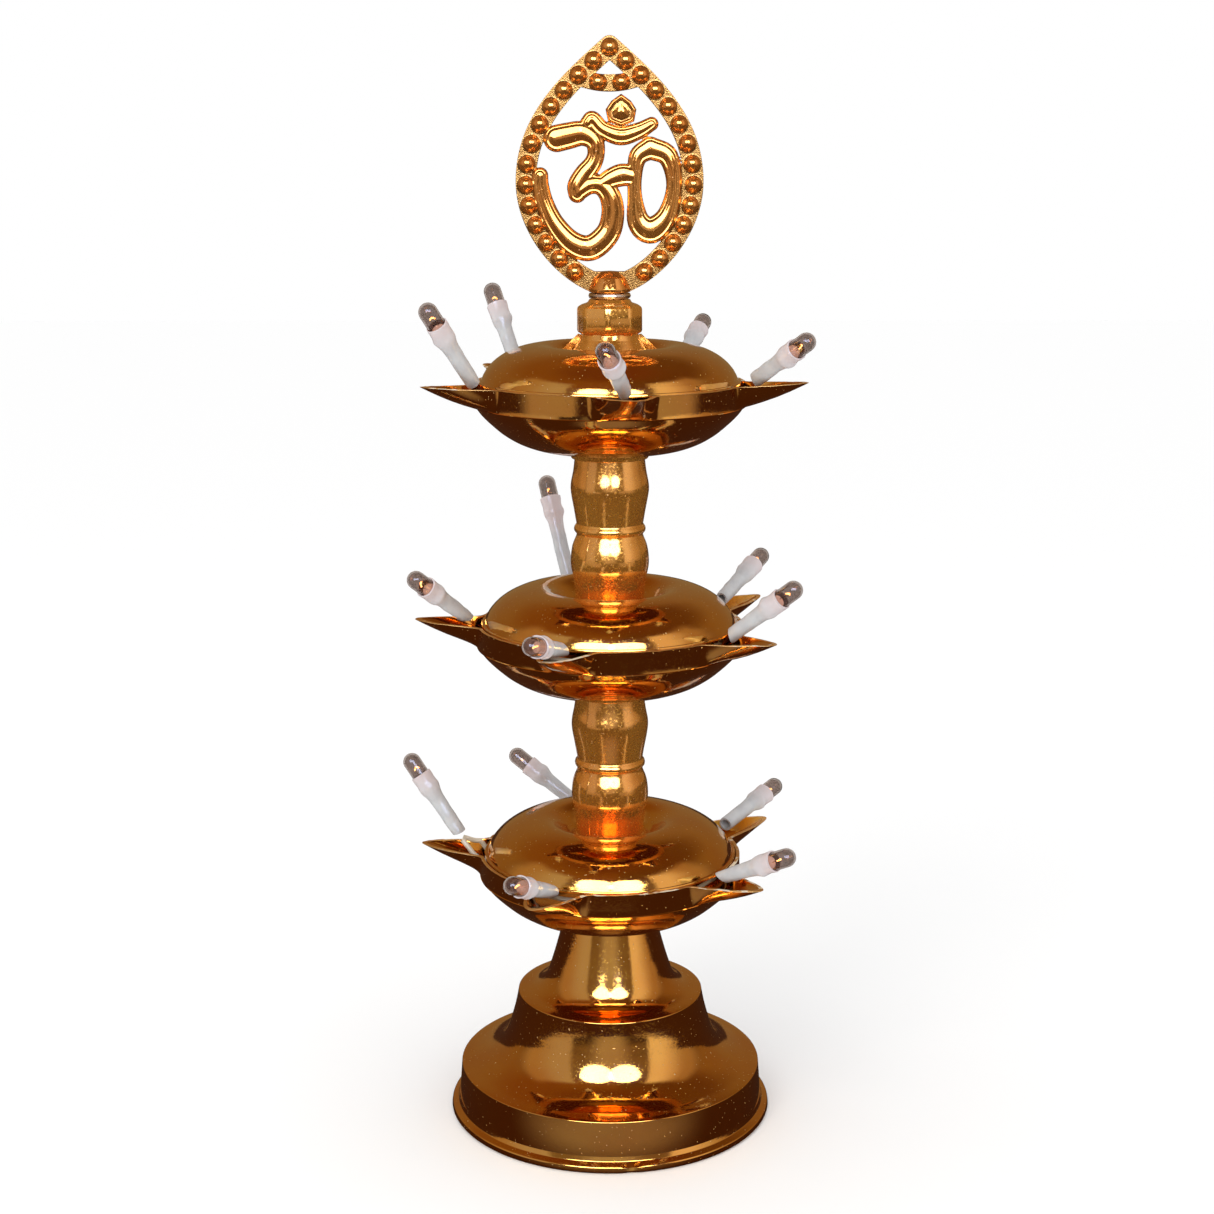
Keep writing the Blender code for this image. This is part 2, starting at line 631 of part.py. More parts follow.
def make_finial(pivot):
    plate = make_finial_plate()
    loop = temp(slab(ellipse(*LOOP_OUTER, 14), OM_THICKNESS))
    boolean(loop, temp(slab(ellipse(*LOOP_INNER, 10), 2 * OM_THICKNESS)), "DIFFERENCE")
    boolean(plate, loop, "UNION")
    for stroke in (UPPER_ARM, LOWER_ARM, HOOK, CRESCENT):
        for start, end in zip(stroke, stroke[1:]):
            boolean(plate, temp(stroke_segment(start, end, OM_THICKNESS)), "UNION")
    boolean(plate, temp(slab(DROP, OM_THICKNESS + 0.1)), "UNION")
    lug = [(18.0, 281.0), (23.0, 281.0), (23.0, 268.0), (18.0, 268.0)]
    boolean(plate, temp(slab(lug, FINIAL_PLATE + 0.3)), "UNION")
    for x, z in bead_centres():
        bead = temp(lathe([(0.0, -BEAD_RADIUS - 0.3), (1.6, -1.8), (1.6, 1.8),
                           (0.0, BEAD_RADIUS + 0.3)], 6, closed=False))
        bead.matrix_basis = (Matrix.Translation((x * MM, 0.0, z * MM))
                             @ Matrix.Rotation(math.pi / 2, 4, "X"))
        boolean(plate, bead, "UNION")
    stud_low = CAP_TOP - STUD_LENGTH
    boss = lathe([(0.0, stud_low), (STUD_RADIUS - 0.3, stud_low), (STUD_RADIUS, stud_low + 0.5),
                  (STUD_RADIUS, FINIAL_BOTTOM + 0.1), (5.9, FINIAL_BOTTOM + 0.1), (5.9, 246.4),
                  (4.6, 249.0), (2.2, 250.6), (0.0, 251.0)], 14, closed=False)
    boolean(plate, temp(boss), "UNION")
    plate.parent = pivot
    return plate


def make_lock_ring(pivot):
    low = CAP_TOP + GAP
    high = FINIAL_BOTTOM + 0.1 - GAP
    profile = [(5.8, low), (5.8, high), (STUD_RADIUS + GAP, high), (STUD_RADIUS + GAP, low)]
    add_object("lock_ring", lathe(profile, 20), STEEL, roughness=0.3, parent=pivot)


def main():
    clear_scene()
    make_base()
    make_grommet()
    make_tie_hardware()
    make_columns()
    make_cap()
    pivots = [make_tier(tier, index) for index, tier in enumerate(TIERS)]
    make_visible_leads(pivots[0])
    make_trunk_lead()
    lift = add_pivot("finial_lift")
    make_lock_ring(lift)
    make_finial(add_pivot("finial_turn", parent=lift))


main()
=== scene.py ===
"""Three-tier electric samai: the visual model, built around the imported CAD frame."""

import math
import random

import bmesh
import bpy
import numpy as np
from mathutils import Matrix, Vector, noise


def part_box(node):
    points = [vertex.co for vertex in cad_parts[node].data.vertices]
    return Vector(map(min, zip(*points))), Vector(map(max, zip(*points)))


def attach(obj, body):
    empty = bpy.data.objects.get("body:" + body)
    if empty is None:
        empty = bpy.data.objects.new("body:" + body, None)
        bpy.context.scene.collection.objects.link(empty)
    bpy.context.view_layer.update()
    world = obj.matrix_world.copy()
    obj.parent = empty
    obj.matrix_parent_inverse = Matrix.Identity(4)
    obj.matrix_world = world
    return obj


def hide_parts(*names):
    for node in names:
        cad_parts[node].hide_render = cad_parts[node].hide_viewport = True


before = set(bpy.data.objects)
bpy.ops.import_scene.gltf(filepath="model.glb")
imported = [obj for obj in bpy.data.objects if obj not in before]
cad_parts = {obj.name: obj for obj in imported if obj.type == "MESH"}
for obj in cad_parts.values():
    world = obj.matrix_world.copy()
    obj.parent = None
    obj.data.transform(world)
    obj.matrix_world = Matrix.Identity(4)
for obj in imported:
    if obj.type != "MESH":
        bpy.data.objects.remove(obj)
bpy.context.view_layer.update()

MM = 0.001
TIERS = {"lower": 80.0, "middle": 150.0, "upper": 220.0}      # rim heights, mm
TIER_TURN = {"lower": -5.0, "middle": 0.0, "upper": 24.0}     # degrees
SPOUTS = 5


# ---------------------------------------------------------------- camera, lights, floor

CAMERA_PLACE = (0.0, -0.5893, 0.28375)                        # metres
CAMERA_DOWN, CAMERA_YAW, CAMERA_ROLL = 12.37, 0.08, -0.05     # degrees
CAMERA_LENS, CAMERA_SENSOR = 61.53, 36.0                      # mm


def make_camera():
    """A little above the middle, pitched down about twelve degrees."""
    data = bpy.data.cameras.new("camera")
    data.lens = CAMERA_LENS
    data.sensor_width = CAMERA_SENSOR
    data.clip_start = 0.01
    camera = bpy.data.objects.new("camera", data)
    bpy.context.scene.collection.objects.link(camera)
    yaw, pitch, roll = (math.radians(a) for a in (CAMERA_YAW, 90.0 - CAMERA_DOWN, CAMERA_ROLL))
    turn = Matrix.Rotation(yaw, 4, "Z") @ Matrix.Rotation(pitch, 4, "X") @ Matrix.Rotation(roll, 4, "Z")
    camera.matrix_world = Matrix.Translation(CAMERA_PLACE) @ turn
    bpy.context.scene.camera = camera


LIGHTS_AIM = (0.0, 0.0, 0.13)
GLINT_COLOUR = (0.58, 0.68, 1.0)
SHADE_COLOUR = (1.0, 0.97, 0.93)


def make_softbox(name, place, size, power, mirrored):
    """An oval soft light that looks at the middle of the object. Either only mirrors see
    it, or only plain surfaces do, so that the glint and the shading have their own strengths."""
    data = bpy.data.lights.new(name, "AREA")
    data.shape = "ELLIPSE"
    data.size, data.size_y = size
    data.energy = power
    data.color = GLINT_COLOUR if mirrored else SHADE_COLOUR
    light = bpy.data.objects.new(name, data)
    bpy.context.scene.collection.objects.link(light)
    light.location = place
    light.visible_camera = False
    light.visible_glossy = mirrored
    light.visible_diffuse = not mirrored
    aim = Vector(LIGHTS_AIM) - Vector(place)
    light.rotation_euler = aim.to_track_quat("-Z", "Y").to_euler()


class Nodes:
    """Short calls for building one node tree."""

    def __init__(self, tree):
        self.tree = tree
        tree.nodes.clear()

    def add(self, kind, settings=None, **inputs):
        node = self.tree.nodes.new("ShaderNode" + kind)
        for key, value in (settings or {}).items():
            setattr(node, key, value)
        for key, value in inputs.items():
            self.feed(node, key.replace("_", " "), value)
        return node

    def feed(self, node, key, value):
        socket = node.inputs[int(key[1:])] if key[0] == "#" else node.inputs[key]
        if isinstance(value, bpy.types.NodeSocket):
            self.tree.links.new(value, socket)
        else:
            socket.default_value = value

    def math(self, operation, a, b=0.0, c=0.0, clamp=False):
        node = self.add("Math", {"operation": operation, "use_clamp": clamp})
        for i, value in enumerate((a, b, c)):
            self.feed(node, f"#{i}", value)
        return node.outputs[0]

    def step(self, value, low, high):
        """0 below low, 1 above high, smooth in between; low may be the greater one."""
        node = self.add("MapRange", {"interpolation_type": "SMOOTHSTEP"}, Value=value)
        self.feed(node, "From Min", low)
        self.feed(node, "From Max", high)
        return node.outputs[0]

    def place(self):
        """The point in the object's own axes, metres."""
        return self.add("TexCoord").outputs["Object"]

    def noise(self, place, scale, detail=2.0):
        return self.add("TexNoise", Vector=place, Scale=scale, Detail=detail).outputs["Fac"]

    def mix(self, share, a, b):
        node = self.add("Mix", {"data_type": "RGBA"})
        self.feed(node, "#0", share)
        self.feed(node, "#6", a)
        self.feed(node, "#7", b)
        return node.outputs[2]


# What mirrors see, as plain colours
ROOM_LOW, ROOM_FRONT = (0.035, 0.020, 0.012, 1.0), (0.20, 0.15, 0.12, 1.0)
ROOM_BACK = (0.24, 0.14, 0.05, 1.0)
CEILING_LEFT, CEILING_RIGHT = (0.21, 0.093, 0.018, 1.0), (0.13, 0.058, 0.012, 1.0)
ZENITH = (0.15, 0.052, 0.012, 1.0)
SCREEN_LEFT, SCREEN_RIGHT = (0.44, 0.41, 0.52, 1.0), (0.82, 0.76, 0.90, 1.0)
SCREEN_FAR = (0.38, 0.27, 0.20, 1.0)
FRONT_GLOW = (0.40, 0.38, 0.46, 1.0)
TABLE_DARK, TABLE_FRONT = (0.050, 0.020, 0.010, 1.0), (0.25, 0.22, 0.28, 1.0)
TABLE_FLANK = (0.36, 0.30, 0.32, 1.0)


def make_studio():
    """World: white to the eye and to diffuse surfaces. Mirrors see a plain studio: two pale side
    screens, a dim room behind and above, and a faint glow in front. Azimuth 0 is the front and
    height is the angle over the horizon, both in radians."""
    world = bpy.data.worlds.new("studio")
    bpy.context.scene.world = world
    bpy.context.scene.view_settings.view_transform = "Standard"
    world.use_nodes = True
    n = Nodes(world.node_tree)
    x, y, z = n.add("SeparateXYZ", Vector=n.add("TexCoord").outputs["Generated"]).outputs
    azimuth = n.math("ABSOLUTE", n.math("ARCTAN2", x, n.math("MULTIPLY", y, -1.0)))
    height = n.math("ARCSINE", z)
    between = n.mix(n.step(height, -0.02, 0.12), ROOM_LOW, ROOM_FRONT)
    tone = n.mix(n.step(azimuth, 1.5, 2.1), between, ROOM_BACK)
    ceiling = n.mix(n.step(x, 0.02, 0.22), CEILING_LEFT, CEILING_RIGHT)
    tone = n.mix(n.step(height, 0.45, 0.85), tone, ceiling)
    tone = n.mix(n.step(height, 0.95, 1.35), tone, ZENITH)
    screen = n.mix(n.step(x, -0.2, 0.2), SCREEN_LEFT, SCREEN_RIGHT)
    screen = n.mix(n.step(azimuth, 0.95, 1.6), screen, SCREEN_FAR)
    share = n.math("MULTIPLY", n.step(azimuth, 0.70, 0.82), n.step(azimuth, 1.95, 1.60))
    tone = n.mix(n.math("MULTIPLY", share, n.step(height, 0.95, 0.75)), tone, screen)
    glow = n.math("MULTIPLY", n.step(azimuth, 0.48, 0.10), n.step(height, -0.27, -0.10))
    glow = n.math("MULTIPLY", glow, n.step(height, 0.45, 0.20))
    seen = n.add("Background", Color=n.mix(glow, tone, FRONT_GLOW))
    pale = n.add("Background", Color=(1.0, 1.0, 1.0, 1.0), Strength=1.0)
    n.add("OutputWorld", Surface=mirror_switch(n, pale, seen))


def mirror_switch(n, plain, mirrored):
    """Shader that mirrors see as mirrored, and the eye, diffuse light and clear glass as plain."""
    rays = n.add("LightPath").outputs
    share = n.math("MULTIPLY", rays["Is Glossy Ray"], n.math("SUBTRACT", 1.0, rays["Is Transmission Ray"]))
    both = n.add("MixShader")
    n.feed(both, "#0", share)
    n.feed(both, "#1", plain.outputs[0])
    n.feed(both, "#2", mirrored.outputs[0])
    return both.outputs[0]


def make_floor():
    """Plain pale floor. Mirrors see it as the dim table top it stands for, lighter close in front
    and far out to the sides."""
    bm = bmesh.new()
    bmesh.ops.create_grid(bm, x_segments=1, y_segments=1, size=3.0)
    floor = link_mesh("floor", bm, [])
    material, n = new_material("floor_paint")
    x, y, _ = n.add("SeparateXYZ", Vector=n.place()).outputs
    aside = n.math("ABSOLUTE", x)
    front = n.math("MULTIPLY", n.step(y, -0.04, -0.075), n.step(y, -0.26, -0.13))
    front = n.math("MULTIPLY", front, n.step(aside, 0.10, 0.02))
    bearing = n.math("ARCTAN2", aside, n.math("MULTIPLY", y, -1.0))
    flank = n.math("MULTIPLY", n.step(bearing, 0.42, 0.55), n.step(bearing, 1.45, 1.15))
    reach = n.math("SQRT", n.math("MULTIPLY_ADD", x, x, n.math("MULTIPLY", y, y)))
    flank = n.math("MULTIPLY", flank, n.step(reach, 0.75, 1.20))
    seen = n.add("BsdfDiffuse", Color=n.mix(flank, n.mix(front, TABLE_DARK, TABLE_FRONT), TABLE_FLANK))
    pale = n.add("BsdfDiffuse", Color=(0.99, 0.99, 0.99, 1.0))
    n.add("OutputMaterial", Surface=mirror_switch(n, pale, seen))
    floor.data.materials.append(material)


# ---------------------------------------------------------------- materials

def new_material(name):
    material = bpy.data.materials.new(name)
    material.use_nodes = True
    return material, Nodes(material.node_tree)


def dust_specks(n, place, scale, share, size):
    """1 on irregular specks: the cells of a warped Voronoi pattern that draw a low number."""
    warp = n.add("TexNoise", Vector=place, Scale=scale * 1.7)
    offset = n.add("VectorMath", {"operation": "MULTIPLY_ADD"})
    n.feed(offset, "#0", warp.outputs["Color"])
    n.feed(offset, "#1", (0.7 / scale,) * 3)
    n.feed(offset, "#2", place)
    cells = n.add("TexVoronoi", Vector=offset.outputs[0], Scale=scale)
    chance = n.add("SeparateColor", Color=cells.outputs["Color"]).outputs[0]
    near = n.step(cells.outputs["Distance"], size, size * 0.6)
    return n.math("MULTIPLY", near, n.step(chance, share, share * 0.9))


DUST = (0.60, 0.38, 0.17, 1.0)
# painted shade for the stipple's pits and painted highlight for its raised points, over a duller gold
STIPPLE_PIT_SHADE, STIPPLE_TOP_HIGHLIGHT = (0.26, 0.105, 0.018, 1.0), (0.58, 0.30, 0.07, 1.0)


def metallised(name, colour, warm, peel, grain, haze, body, stippled=False):
    """Vacuum-metallised plastic: mirror gold under lacquer, with orange peel and dust specks.
    body is the lacquer's own share of plain colour; stippled roughens and dulls what lies near
    the middle plane of a flat plate and spares its relief, and there paints shade into the stipple's
    pits and highlights onto its raised points."""
    material, n = new_material(name)
    place = n.place()
    cloud = n.noise(place, 55.0, 3.0)
    fine = n.noise(place, 1500.0, 2.0)
    speck = dust_specks(n, place, 620.0, 0.14, 0.14)
    speck = n.math("MAXIMUM", speck, dust_specks(n, place, 1400.0, 0.13, 0.20))
    base = n.mix(n.step(cloud, 0.35, 0.70), (*colour, 1.0), (*warm, 1.0))
    base = n.mix(n.math("MULTIPLY", speck, 0.8), base, DUST)
    rough = n.math("MULTIPLY_ADD", n.step(fine, 0.45, 0.75), haze, haze * 0.45)
    rough = n.math("MAXIMUM", rough, n.math("MULTIPLY", speck, 0.6))
    if stippled:
        level = n.math("ABSOLUTE", n.add("SeparateXYZ", Vector=place).outputs["Y"])
        flat = n.step(level, 1.75 * MM, 1.35 * MM)
        pits = n.noise(place, 3400.0, 1.0)
        rough = n.math("MULTIPLY_ADD", flat, 0.14, rough)
        # the plate's colour follows its stipple: painted shade in the pits, painted highlight on the raised
        # points
        base = n.mix(flat, base, n.mix(n.step(pits, 0.35, 0.65), STIPPLE_PIT_SHADE, STIPPLE_TOP_HIGHLIGHT))
    metal = n.math("MULTIPLY_ADD", speck, -0.45, 1.0 - body)
    ripple = n.noise(place, 230.0, 2.0)
    relief = n.math("MULTIPLY_ADD", fine, grain, n.math("MULTIPLY", ripple, peel))
    relief = n.math("MULTIPLY_ADD", speck, 0.03, relief)
    if stippled:
        relief = n.math("MULTIPLY_ADD", n.math("MULTIPLY", flat, pits), 0.09, relief)
    bump = n.add("Bump", Strength=1.0, Distance=MM, Height=relief)
    shader = n.add("BsdfPrincipled", Metallic=metal, Roughness=rough, Normal=bump.outputs[0])
    n.feed(shader, "Base Color", base)
    n.feed(shader, "Coat Weight", 0.1 if stippled else 0.9)
    n.feed(shader, "Coat Roughness", 0.12)
    n.add("OutputMaterial", Surface=shader.outputs[0])
    return material


def trimmed_edge(gold):
    """The bare cream plastic of a trimmed rim, with patches of the gold still on it."""
    material, n = new_material("trimmed_edge")
    place = n.place()
    patch = n.noise(place, 420.0, 4.0)
    stretch = n.noise(place, 45.0, 1.0)
    share = n.step(n.math("ADD", patch, stretch), 0.85, 0.95)
    base = n.mix(share, (0.84, 0.72, 0.52, 1.0), (*gold, 1.0))
    bump = n.add("Bump", Strength=0.6, Distance=0.12 * MM, Height=patch)
    shader = n.add("BsdfPrincipled", Metallic=share, Roughness=0.42, Normal=bump.outputs[0])
    n.feed(shader, "Base Color", base)
    n.add("OutputMaterial", Surface=shader.outputs[0])
    return material


def sleeve_plastic():
    """Cool white shrink tube. The lit bulb warms it towards the mouth, which is at its +Z end."""
    material, n = new_material("sleeve_plastic")
    place = n.place()
    along = n.add("SeparateXYZ", Vector=place).outputs["Z"]
    warm = n.step(along, 12.0 * MM, 21.4 * MM)
    cloud = n.noise(place, 260.0, 2.0)
    base = n.mix(n.step(cloud, 0.3, 0.7), (0.61, 0.62, 0.63, 1.0), (0.53, 0.54, 0.56, 1.0))
    base = n.mix(warm, base, (0.66, 0.60, 0.61, 1.0))
    glow = n.mix(warm, (0.0, 0.0, 0.0, 1.0), (0.035, 0.012, 0.008, 1.0))
    crease = n.noise(place, 340.0, 3.0)
    bump = n.add("Bump", Strength=0.8, Distance=0.28 * MM, Height=crease)
    shader = n.add("BsdfPrincipled", Roughness=0.20, Normal=bump.outputs[0])
    n.feed(shader, "Base Color", base)
    n.feed(shader, "Emission Color", glow)
    n.feed(shader, "Emission Strength", 1.0)
    n.feed(shader, "Specular IOR Level", 0.35)
    n.feed(shader, "Subsurface Weight", 0.12)
    n.feed(shader, "Subsurface Radius", (0.9 * MM, 0.6 * MM, 0.5 * MM))
    n.feed(shader, "Subsurface Scale", 1.0)
    n.add("OutputMaterial", Surface=shader.outputs[0])
    return material


def smoked_glass():
    """Thin brown glass, a little darker towards its outline, with faint waves."""
    material, n = new_material("smoked_glass")
    place = n.place()
    wave = n.noise(place, 120.0, 0.0)
    tint = n.mix(n.step(wave, 0.3, 0.7), (0.46, 0.39, 0.36, 1.0), (0.41, 0.35, 0.32, 1.0))
    bump = n.add("Bump", Strength=0.3, Distance=0.03 * MM, Height=wave)
    shader = n.add("BsdfPrincipled", Roughness=0.0, Normal=bump.outputs[0])
    n.feed(shader, "Base Color", tint)
    n.feed(shader, "Transmission Weight", 1.0)
    n.feed(shader, "IOR", 1.46)
    n.add("OutputMaterial", Surface=shader.outputs[0])
    return material


def filament_glow():
    material, n = new_material("filament_glow")
    place = n.place()
    turn = n.noise(place, 2500.0)
    shader = n.add("Emission", Strength=9.0)
    n.feed(shader, "Color", n.mix(n.step(turn, 0.40, 0.60), (1.0, 0.24, 0.04, 1.0), (1.0, 0.62, 0.26, 1.0)))
    n.add("OutputMaterial", Surface=shader.outputs[0])
    return material


def lit_glass_foot():
    """The pressed glass foot inside a bulb, lit by the filament and the white sleeve round it."""
    material, n = new_material("glass_foot")
    wave = n.noise(n.place(), 900.0)
    shader = n.add("BsdfPrincipled", Roughness=0.25)
    n.feed(shader, "Base Color", n.mix(wave, (0.62, 0.52, 0.46, 1.0), (0.78, 0.68, 0.60, 1.0)))
    n.feed(shader, "Emission Color", (0.80, 0.47, 0.36, 1.0))
    n.feed(shader, "Emission Strength", 1.0)
    n.add("OutputMaterial", Surface=shader.outputs[0])
    return material


def satin(name, light, dark, scale, roughness, metallic=0.0, relief=0.05):
    """Plain moulded, drawn or plated stuff: slight colour clouds and a fine grain."""
    material, n = new_material(name)
    place = n.place()
    cloud = n.noise(place, scale, 4.0)
    grain = n.noise(place, scale * 6.0, 2.0)
    bump = n.add("Bump", Strength=0.5, Distance=relief * MM, Height=grain)
    rough = n.math("MULTIPLY_ADD", grain, 0.2, roughness - 0.1)
    shader = n.add("BsdfPrincipled", Metallic=metallic, Roughness=rough, Normal=bump.outputs[0])
    n.feed(shader, "Base Color", n.mix(n.step(cloud, 0.3, 0.7), (*light, 1.0), (*dark, 1.0)))
    n.add("OutputMaterial", Surface=shader.outputs[0])
    return material


# ---------------------------------------------------------------- mesh helpers

def link_mesh(name, bm, materials, sharp=32.0):
    """Smooth-shaded object from bm, with edges bent past sharp degrees kept crisp."""
    bmesh.ops.recalc_face_normals(bm, faces=bm.faces)
    for face in bm.faces:
        face.smooth = True
    for edge in bm.edges:
        if len(edge.link_faces) == 2:
            edge.smooth = edge.calc_face_angle(0.0) < math.radians(sharp)
    mesh = bpy.data.meshes.new(name)
    bm.to_mesh(mesh)
    bm.free()
    for material in materials:
        mesh.materials.append(material)
    obj = bpy.data.objects.new(name, mesh)
    bpy.context.scene.collection.objects.link(obj)
    return obj


def settle(obj, body, slot, *nodes):
    """obj rides on body and stands for these CAD nodes, which it hides; slot is not used."""
    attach(obj, body)
    if nodes:
        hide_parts(*nodes)


def filleted(corners, steps=7):
    """Outline through (r, z, fillet radius) corners, each rounded with an arc; mm."""
    points = []
    for i, (x, y, radius) in enumerate(corners):
        here = Vector((x, y))
        if radius <= 0.0 or i in (0, len(corners) - 1):
            points.append((x, y))
            continue
        a = (Vector(corners[i - 1][:2]) - here)
        b = (Vector(corners[i + 1][:2]) - here)
        half = a.angle(b) / 2
        reach = min(radius / math.tan(half), 0.49 * a.length, 0.49 * b.length)
        a.normalize()
        b.normalize()
        centre = here + (a + b).normalized() * (reach / math.cos(half))
        start, end = here + a * reach - centre, here + b * reach - centre
        turn = start.angle_signed(end)
        for k in range(steps + 1):
            arm = start.copy()
            arm.rotate(Matrix.Rotation(-turn * k / steps, 2))
            points.append(tuple(centre + arm))
    return points


def spline(points, per_span):
    """Catmull-Rom curve through the points, any dimension."""
    vectors = [np.array(p, float) for p in points]
    vectors = [2 * vectors[0] - vectors[1]] + vectors + [2 * vectors[-1] - vectors[-2]]
    curve = []
    for i in range(1, len(vectors) - 2):
        p0, p1, p2, p3 = vectors[i - 1:i + 3]
        for k in range(per_span):
            t = k / per_span
            curve.append(tuple(0.5 * (2 * p1 + (p2 - p0) * t + (2 * p0 - 5 * p1 + 4 * p2 - p3) * t ** 2
                                      + (3 * p1 - p0 - 3 * p2 + p3) * t ** 3)))
    return curve + [tuple(vectors[-2])]


def even_angles(count):
    return [2 * math.pi * k / count for k in range(count)]


def revolve(bm, rows, angles, shape, closed=True):
    """Rings of vertices at shape(row, angle) -> (r, z) in mm, joined by quads.
    closed joins the last row to the first; otherwise the ends sit on the axis."""
    rings = []
    for row in rows:
        ring = []
        if not closed and row in (rows[0], rows[-1]) and abs(row[0]) < 1e-6:
            ring = [bm.verts.new((0.0, 0.0, row[1] * MM))] * len(angles)
        else:
            for angle in angles:
                r, z = shape(row, angle)
                ring.append(bm.verts.new((r * MM * math.cos(angle), r * MM * math.sin(angle), z * MM)))
        rings.append(ring)
    pairs = list(zip(rings, rings[1:]))
    if closed:
        pairs.append((rings[-1], rings[0]))
    faces = []
    for low, high in pairs:
        for k in range(len(angles)):
            m = (k + 1) % len(angles)
            corners = []
            for vert in (low[k], low[m], high[m], high[k]):
                if vert not in corners:
                    corners.append(vert)
            faces.append(bm.faces.new(corners))
    return faces


def lathe(name, rows, materials, segments=128, closed=True, sharp=32.0):
    bm = bmesh.new()
    revolve(bm, rows, even_angles(segments), lambda row, angle: row[:2], closed)
    return link_mesh(name, bm, materials, sharp)


def tube(bm, points, radius, sides=10):
    """Closed round tube along points; mm."""
    path = [Vector(p) for p in points]
    up = Vector((0.31, 0.17, 0.93))
    rings = []
    for i, point in enumerate(path):
        ahead = (path[min(i + 1, len(path) - 1)] - path[max(i - 1, 0)]).normalized()
        side = ahead.cross(up).normalized()
        up = side.cross(ahead).normalized()
        ring = []
        for angle in even_angles(sides):
            arm = side * math.cos(angle) + up * math.sin(angle)
            ring.append(bm.verts.new((point + arm * radius) * MM))
        rings.append(ring)
    for low, high in zip(rings, rings[1:]):
        for k in range(sides):
            m = (k + 1) % sides
            bm.faces.new((low[k], low[m], high[m], high[k]))
    bm.faces.new(rings[0][::-1])
    bm.faces.new(rings[-1])


# ---------------------------------------------------------------- base and columns

FOOT = [(44.6, 0.0, 0.0), (47.6, 0.0, 0.35), (48.2, 0.75, 0.5), (48.0, 2.1, 0.7), (46.2, 2.8, 0.5),
        (45.75, 4.2, 0.5), (45.0, 14.45, 0.35), (43.9, 14.7, 0.0)]
FLARE = [(43.9, 14.7), (40.5, 15.5), (36.6, 17.2), (33.1, 20.1), (30.8, 24.2), (29.3, 29.0), (28.4, 32.6),
         (27.7, 36.2)]
SHOULDER = [(27.7, 36.2, 0.0), (27.6, 36.95, 0.35), (26.8, 37.1, 0.0)]
BASE_INSIDE = [(11.9, 57.6, 0.3), (17.6, 37.4, 9.0), (25.8, 35.0, 1.0), (29.6, 15.8, 11.0),
               (43.6, 13.0, 1.0), (44.4, 1.8, 0.0)]


def base_rows():
    """Outside of the base from the foot up to the cone's top, then its inside back down."""
    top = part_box("base_shell")[1].z / MM
    cone = [(26.8, 37.1), (22.6, 38.1), (19.3, 41.2), (17.3, 46.4), (15.3, 53.4), (13.6, top)]
    rows = filleted(FOOT, 9) + spline(FLARE, 7)[1:] + filleted(SHOULDER, 5)[1:] + spline(cone, 7)[1:]
    return rows + [(4.4, top), (4.4, top - 1.7)] + filleted(BASE_INSIDE, 5)


def make_base(gold):
    """Stepped round foot, one shell, with a chip in the front of its lip."""
    rows = base_rows()
    chip_angle, chip_half = math.radians(277.0), 0.055

    def shape(row, angle):
        r, z = row
        away = (angle - chip_angle) / chip_half
        if z < 2.6 and r > 46.4 and abs(away) < 1.0:
            depth = 0.55 * (1 - away ** 2)
            r -= depth * (0.6 + 0.4 * noise.noise((angle * 90.0, z * 2.0, 3.0)))
            z = min(z, 1.9 - 0.3 * depth)
        wobble = 0.035 * noise.noise((math.cos(angle) * 3, math.sin(angle) * 3, z * 0.1))
        return r + wobble, z

    bm = bmesh.new()
    revolve(bm, rows, even_angles(288), shape)
    settle(link_mesh("base_shell_skin", bm, [gold], 40.0), "stem", "gold_deep", "base_shell")


def column_rows(foot, head):
    rise = head - foot
    barrel = spline([(10.2, 1.6), (10.1, 3.6), (10.55, 8.0), (11.3, 12.6), (10.9, 17.2), (9.65, 20.6)], 6)
    bead = [(9.55, 21.3), (9.9, 21.6), (10.25, 22.1), (10.35, 22.7), (10.2, 23.3), (9.85, 23.8)]
    upper = spline([(9.6, 24.2), (10.15, 27.4), (11.1, 32.6), (11.2, 35.6), (10.5, 39.4),
                    (10.05, rise - 1.8)], 6)
    foot_ring = [(10.3, 0.0), (10.75, 0.15), (10.95, 0.5), (10.95, 0.9), (10.6, 1.3)]
    head_ring = [(10.9, rise - 1.75), (11.1, rise - 1.5), (11.1, rise - 0.2), (10.9, rise)]
    bore = [(4.5, rise), (4.5, 0.0)]
    return [(r, foot + z) for r, z in foot_ring + barrel + bead + upper + head_ring + bore]


def make_column(name, gold):
    """Turned column with the two fins of flash where the halves of its mould met."""
    low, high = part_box(name)
    foot, head = low.z / MM, high.z / MM
    seams = (math.radians(233.0), math.radians(53.0))
    near = [-0.05, -0.03, -0.018, -0.009, 0.0, 0.009, 0.018, 0.03, 0.05]
    angles = [a for a in even_angles(120) if all(abs(a - s) > 0.06 for s in seams)]
    angles = sorted(angles + [s + d for s in seams for d in near])

    def shape(row, angle):
        r, z = row
        if r < 6.0:
            return r, z
        off = min(abs(angle - s) for s in seams) * r
        flash = 0.16 * math.exp(-(off / 0.17) ** 2) * (0.6 + 0.5 * noise.noise((z * 0.5, angle, 0.0)))
        dents = 0.05 * noise.noise((math.cos(angle) * 2.2, math.sin(angle) * 2.2, z * 0.24))
        return r + flash + dents, z

    bm = bmesh.new()
    revolve(bm, column_rows(foot, head), angles, shape)
    settle(link_mesh(name + "_skin", bm, [gold], 42.0), "stem", "gold_light", name)


# ---------------------------------------------------------------- bowls and lids

BOWL_RADIUS = 38.6
BOWL_WALL = 1.0
BOWL_DEPTH = 19.6
BAND = 6.4                      # height of the straight band under the rim
SPOUT_REACH = 56.7
SPOUT_ROOT = 40.0
SPOUT_HALF_WIDTH = 8.0
SPOUT_FULLNESS = 0.55
TIP_LIFT = 1.0


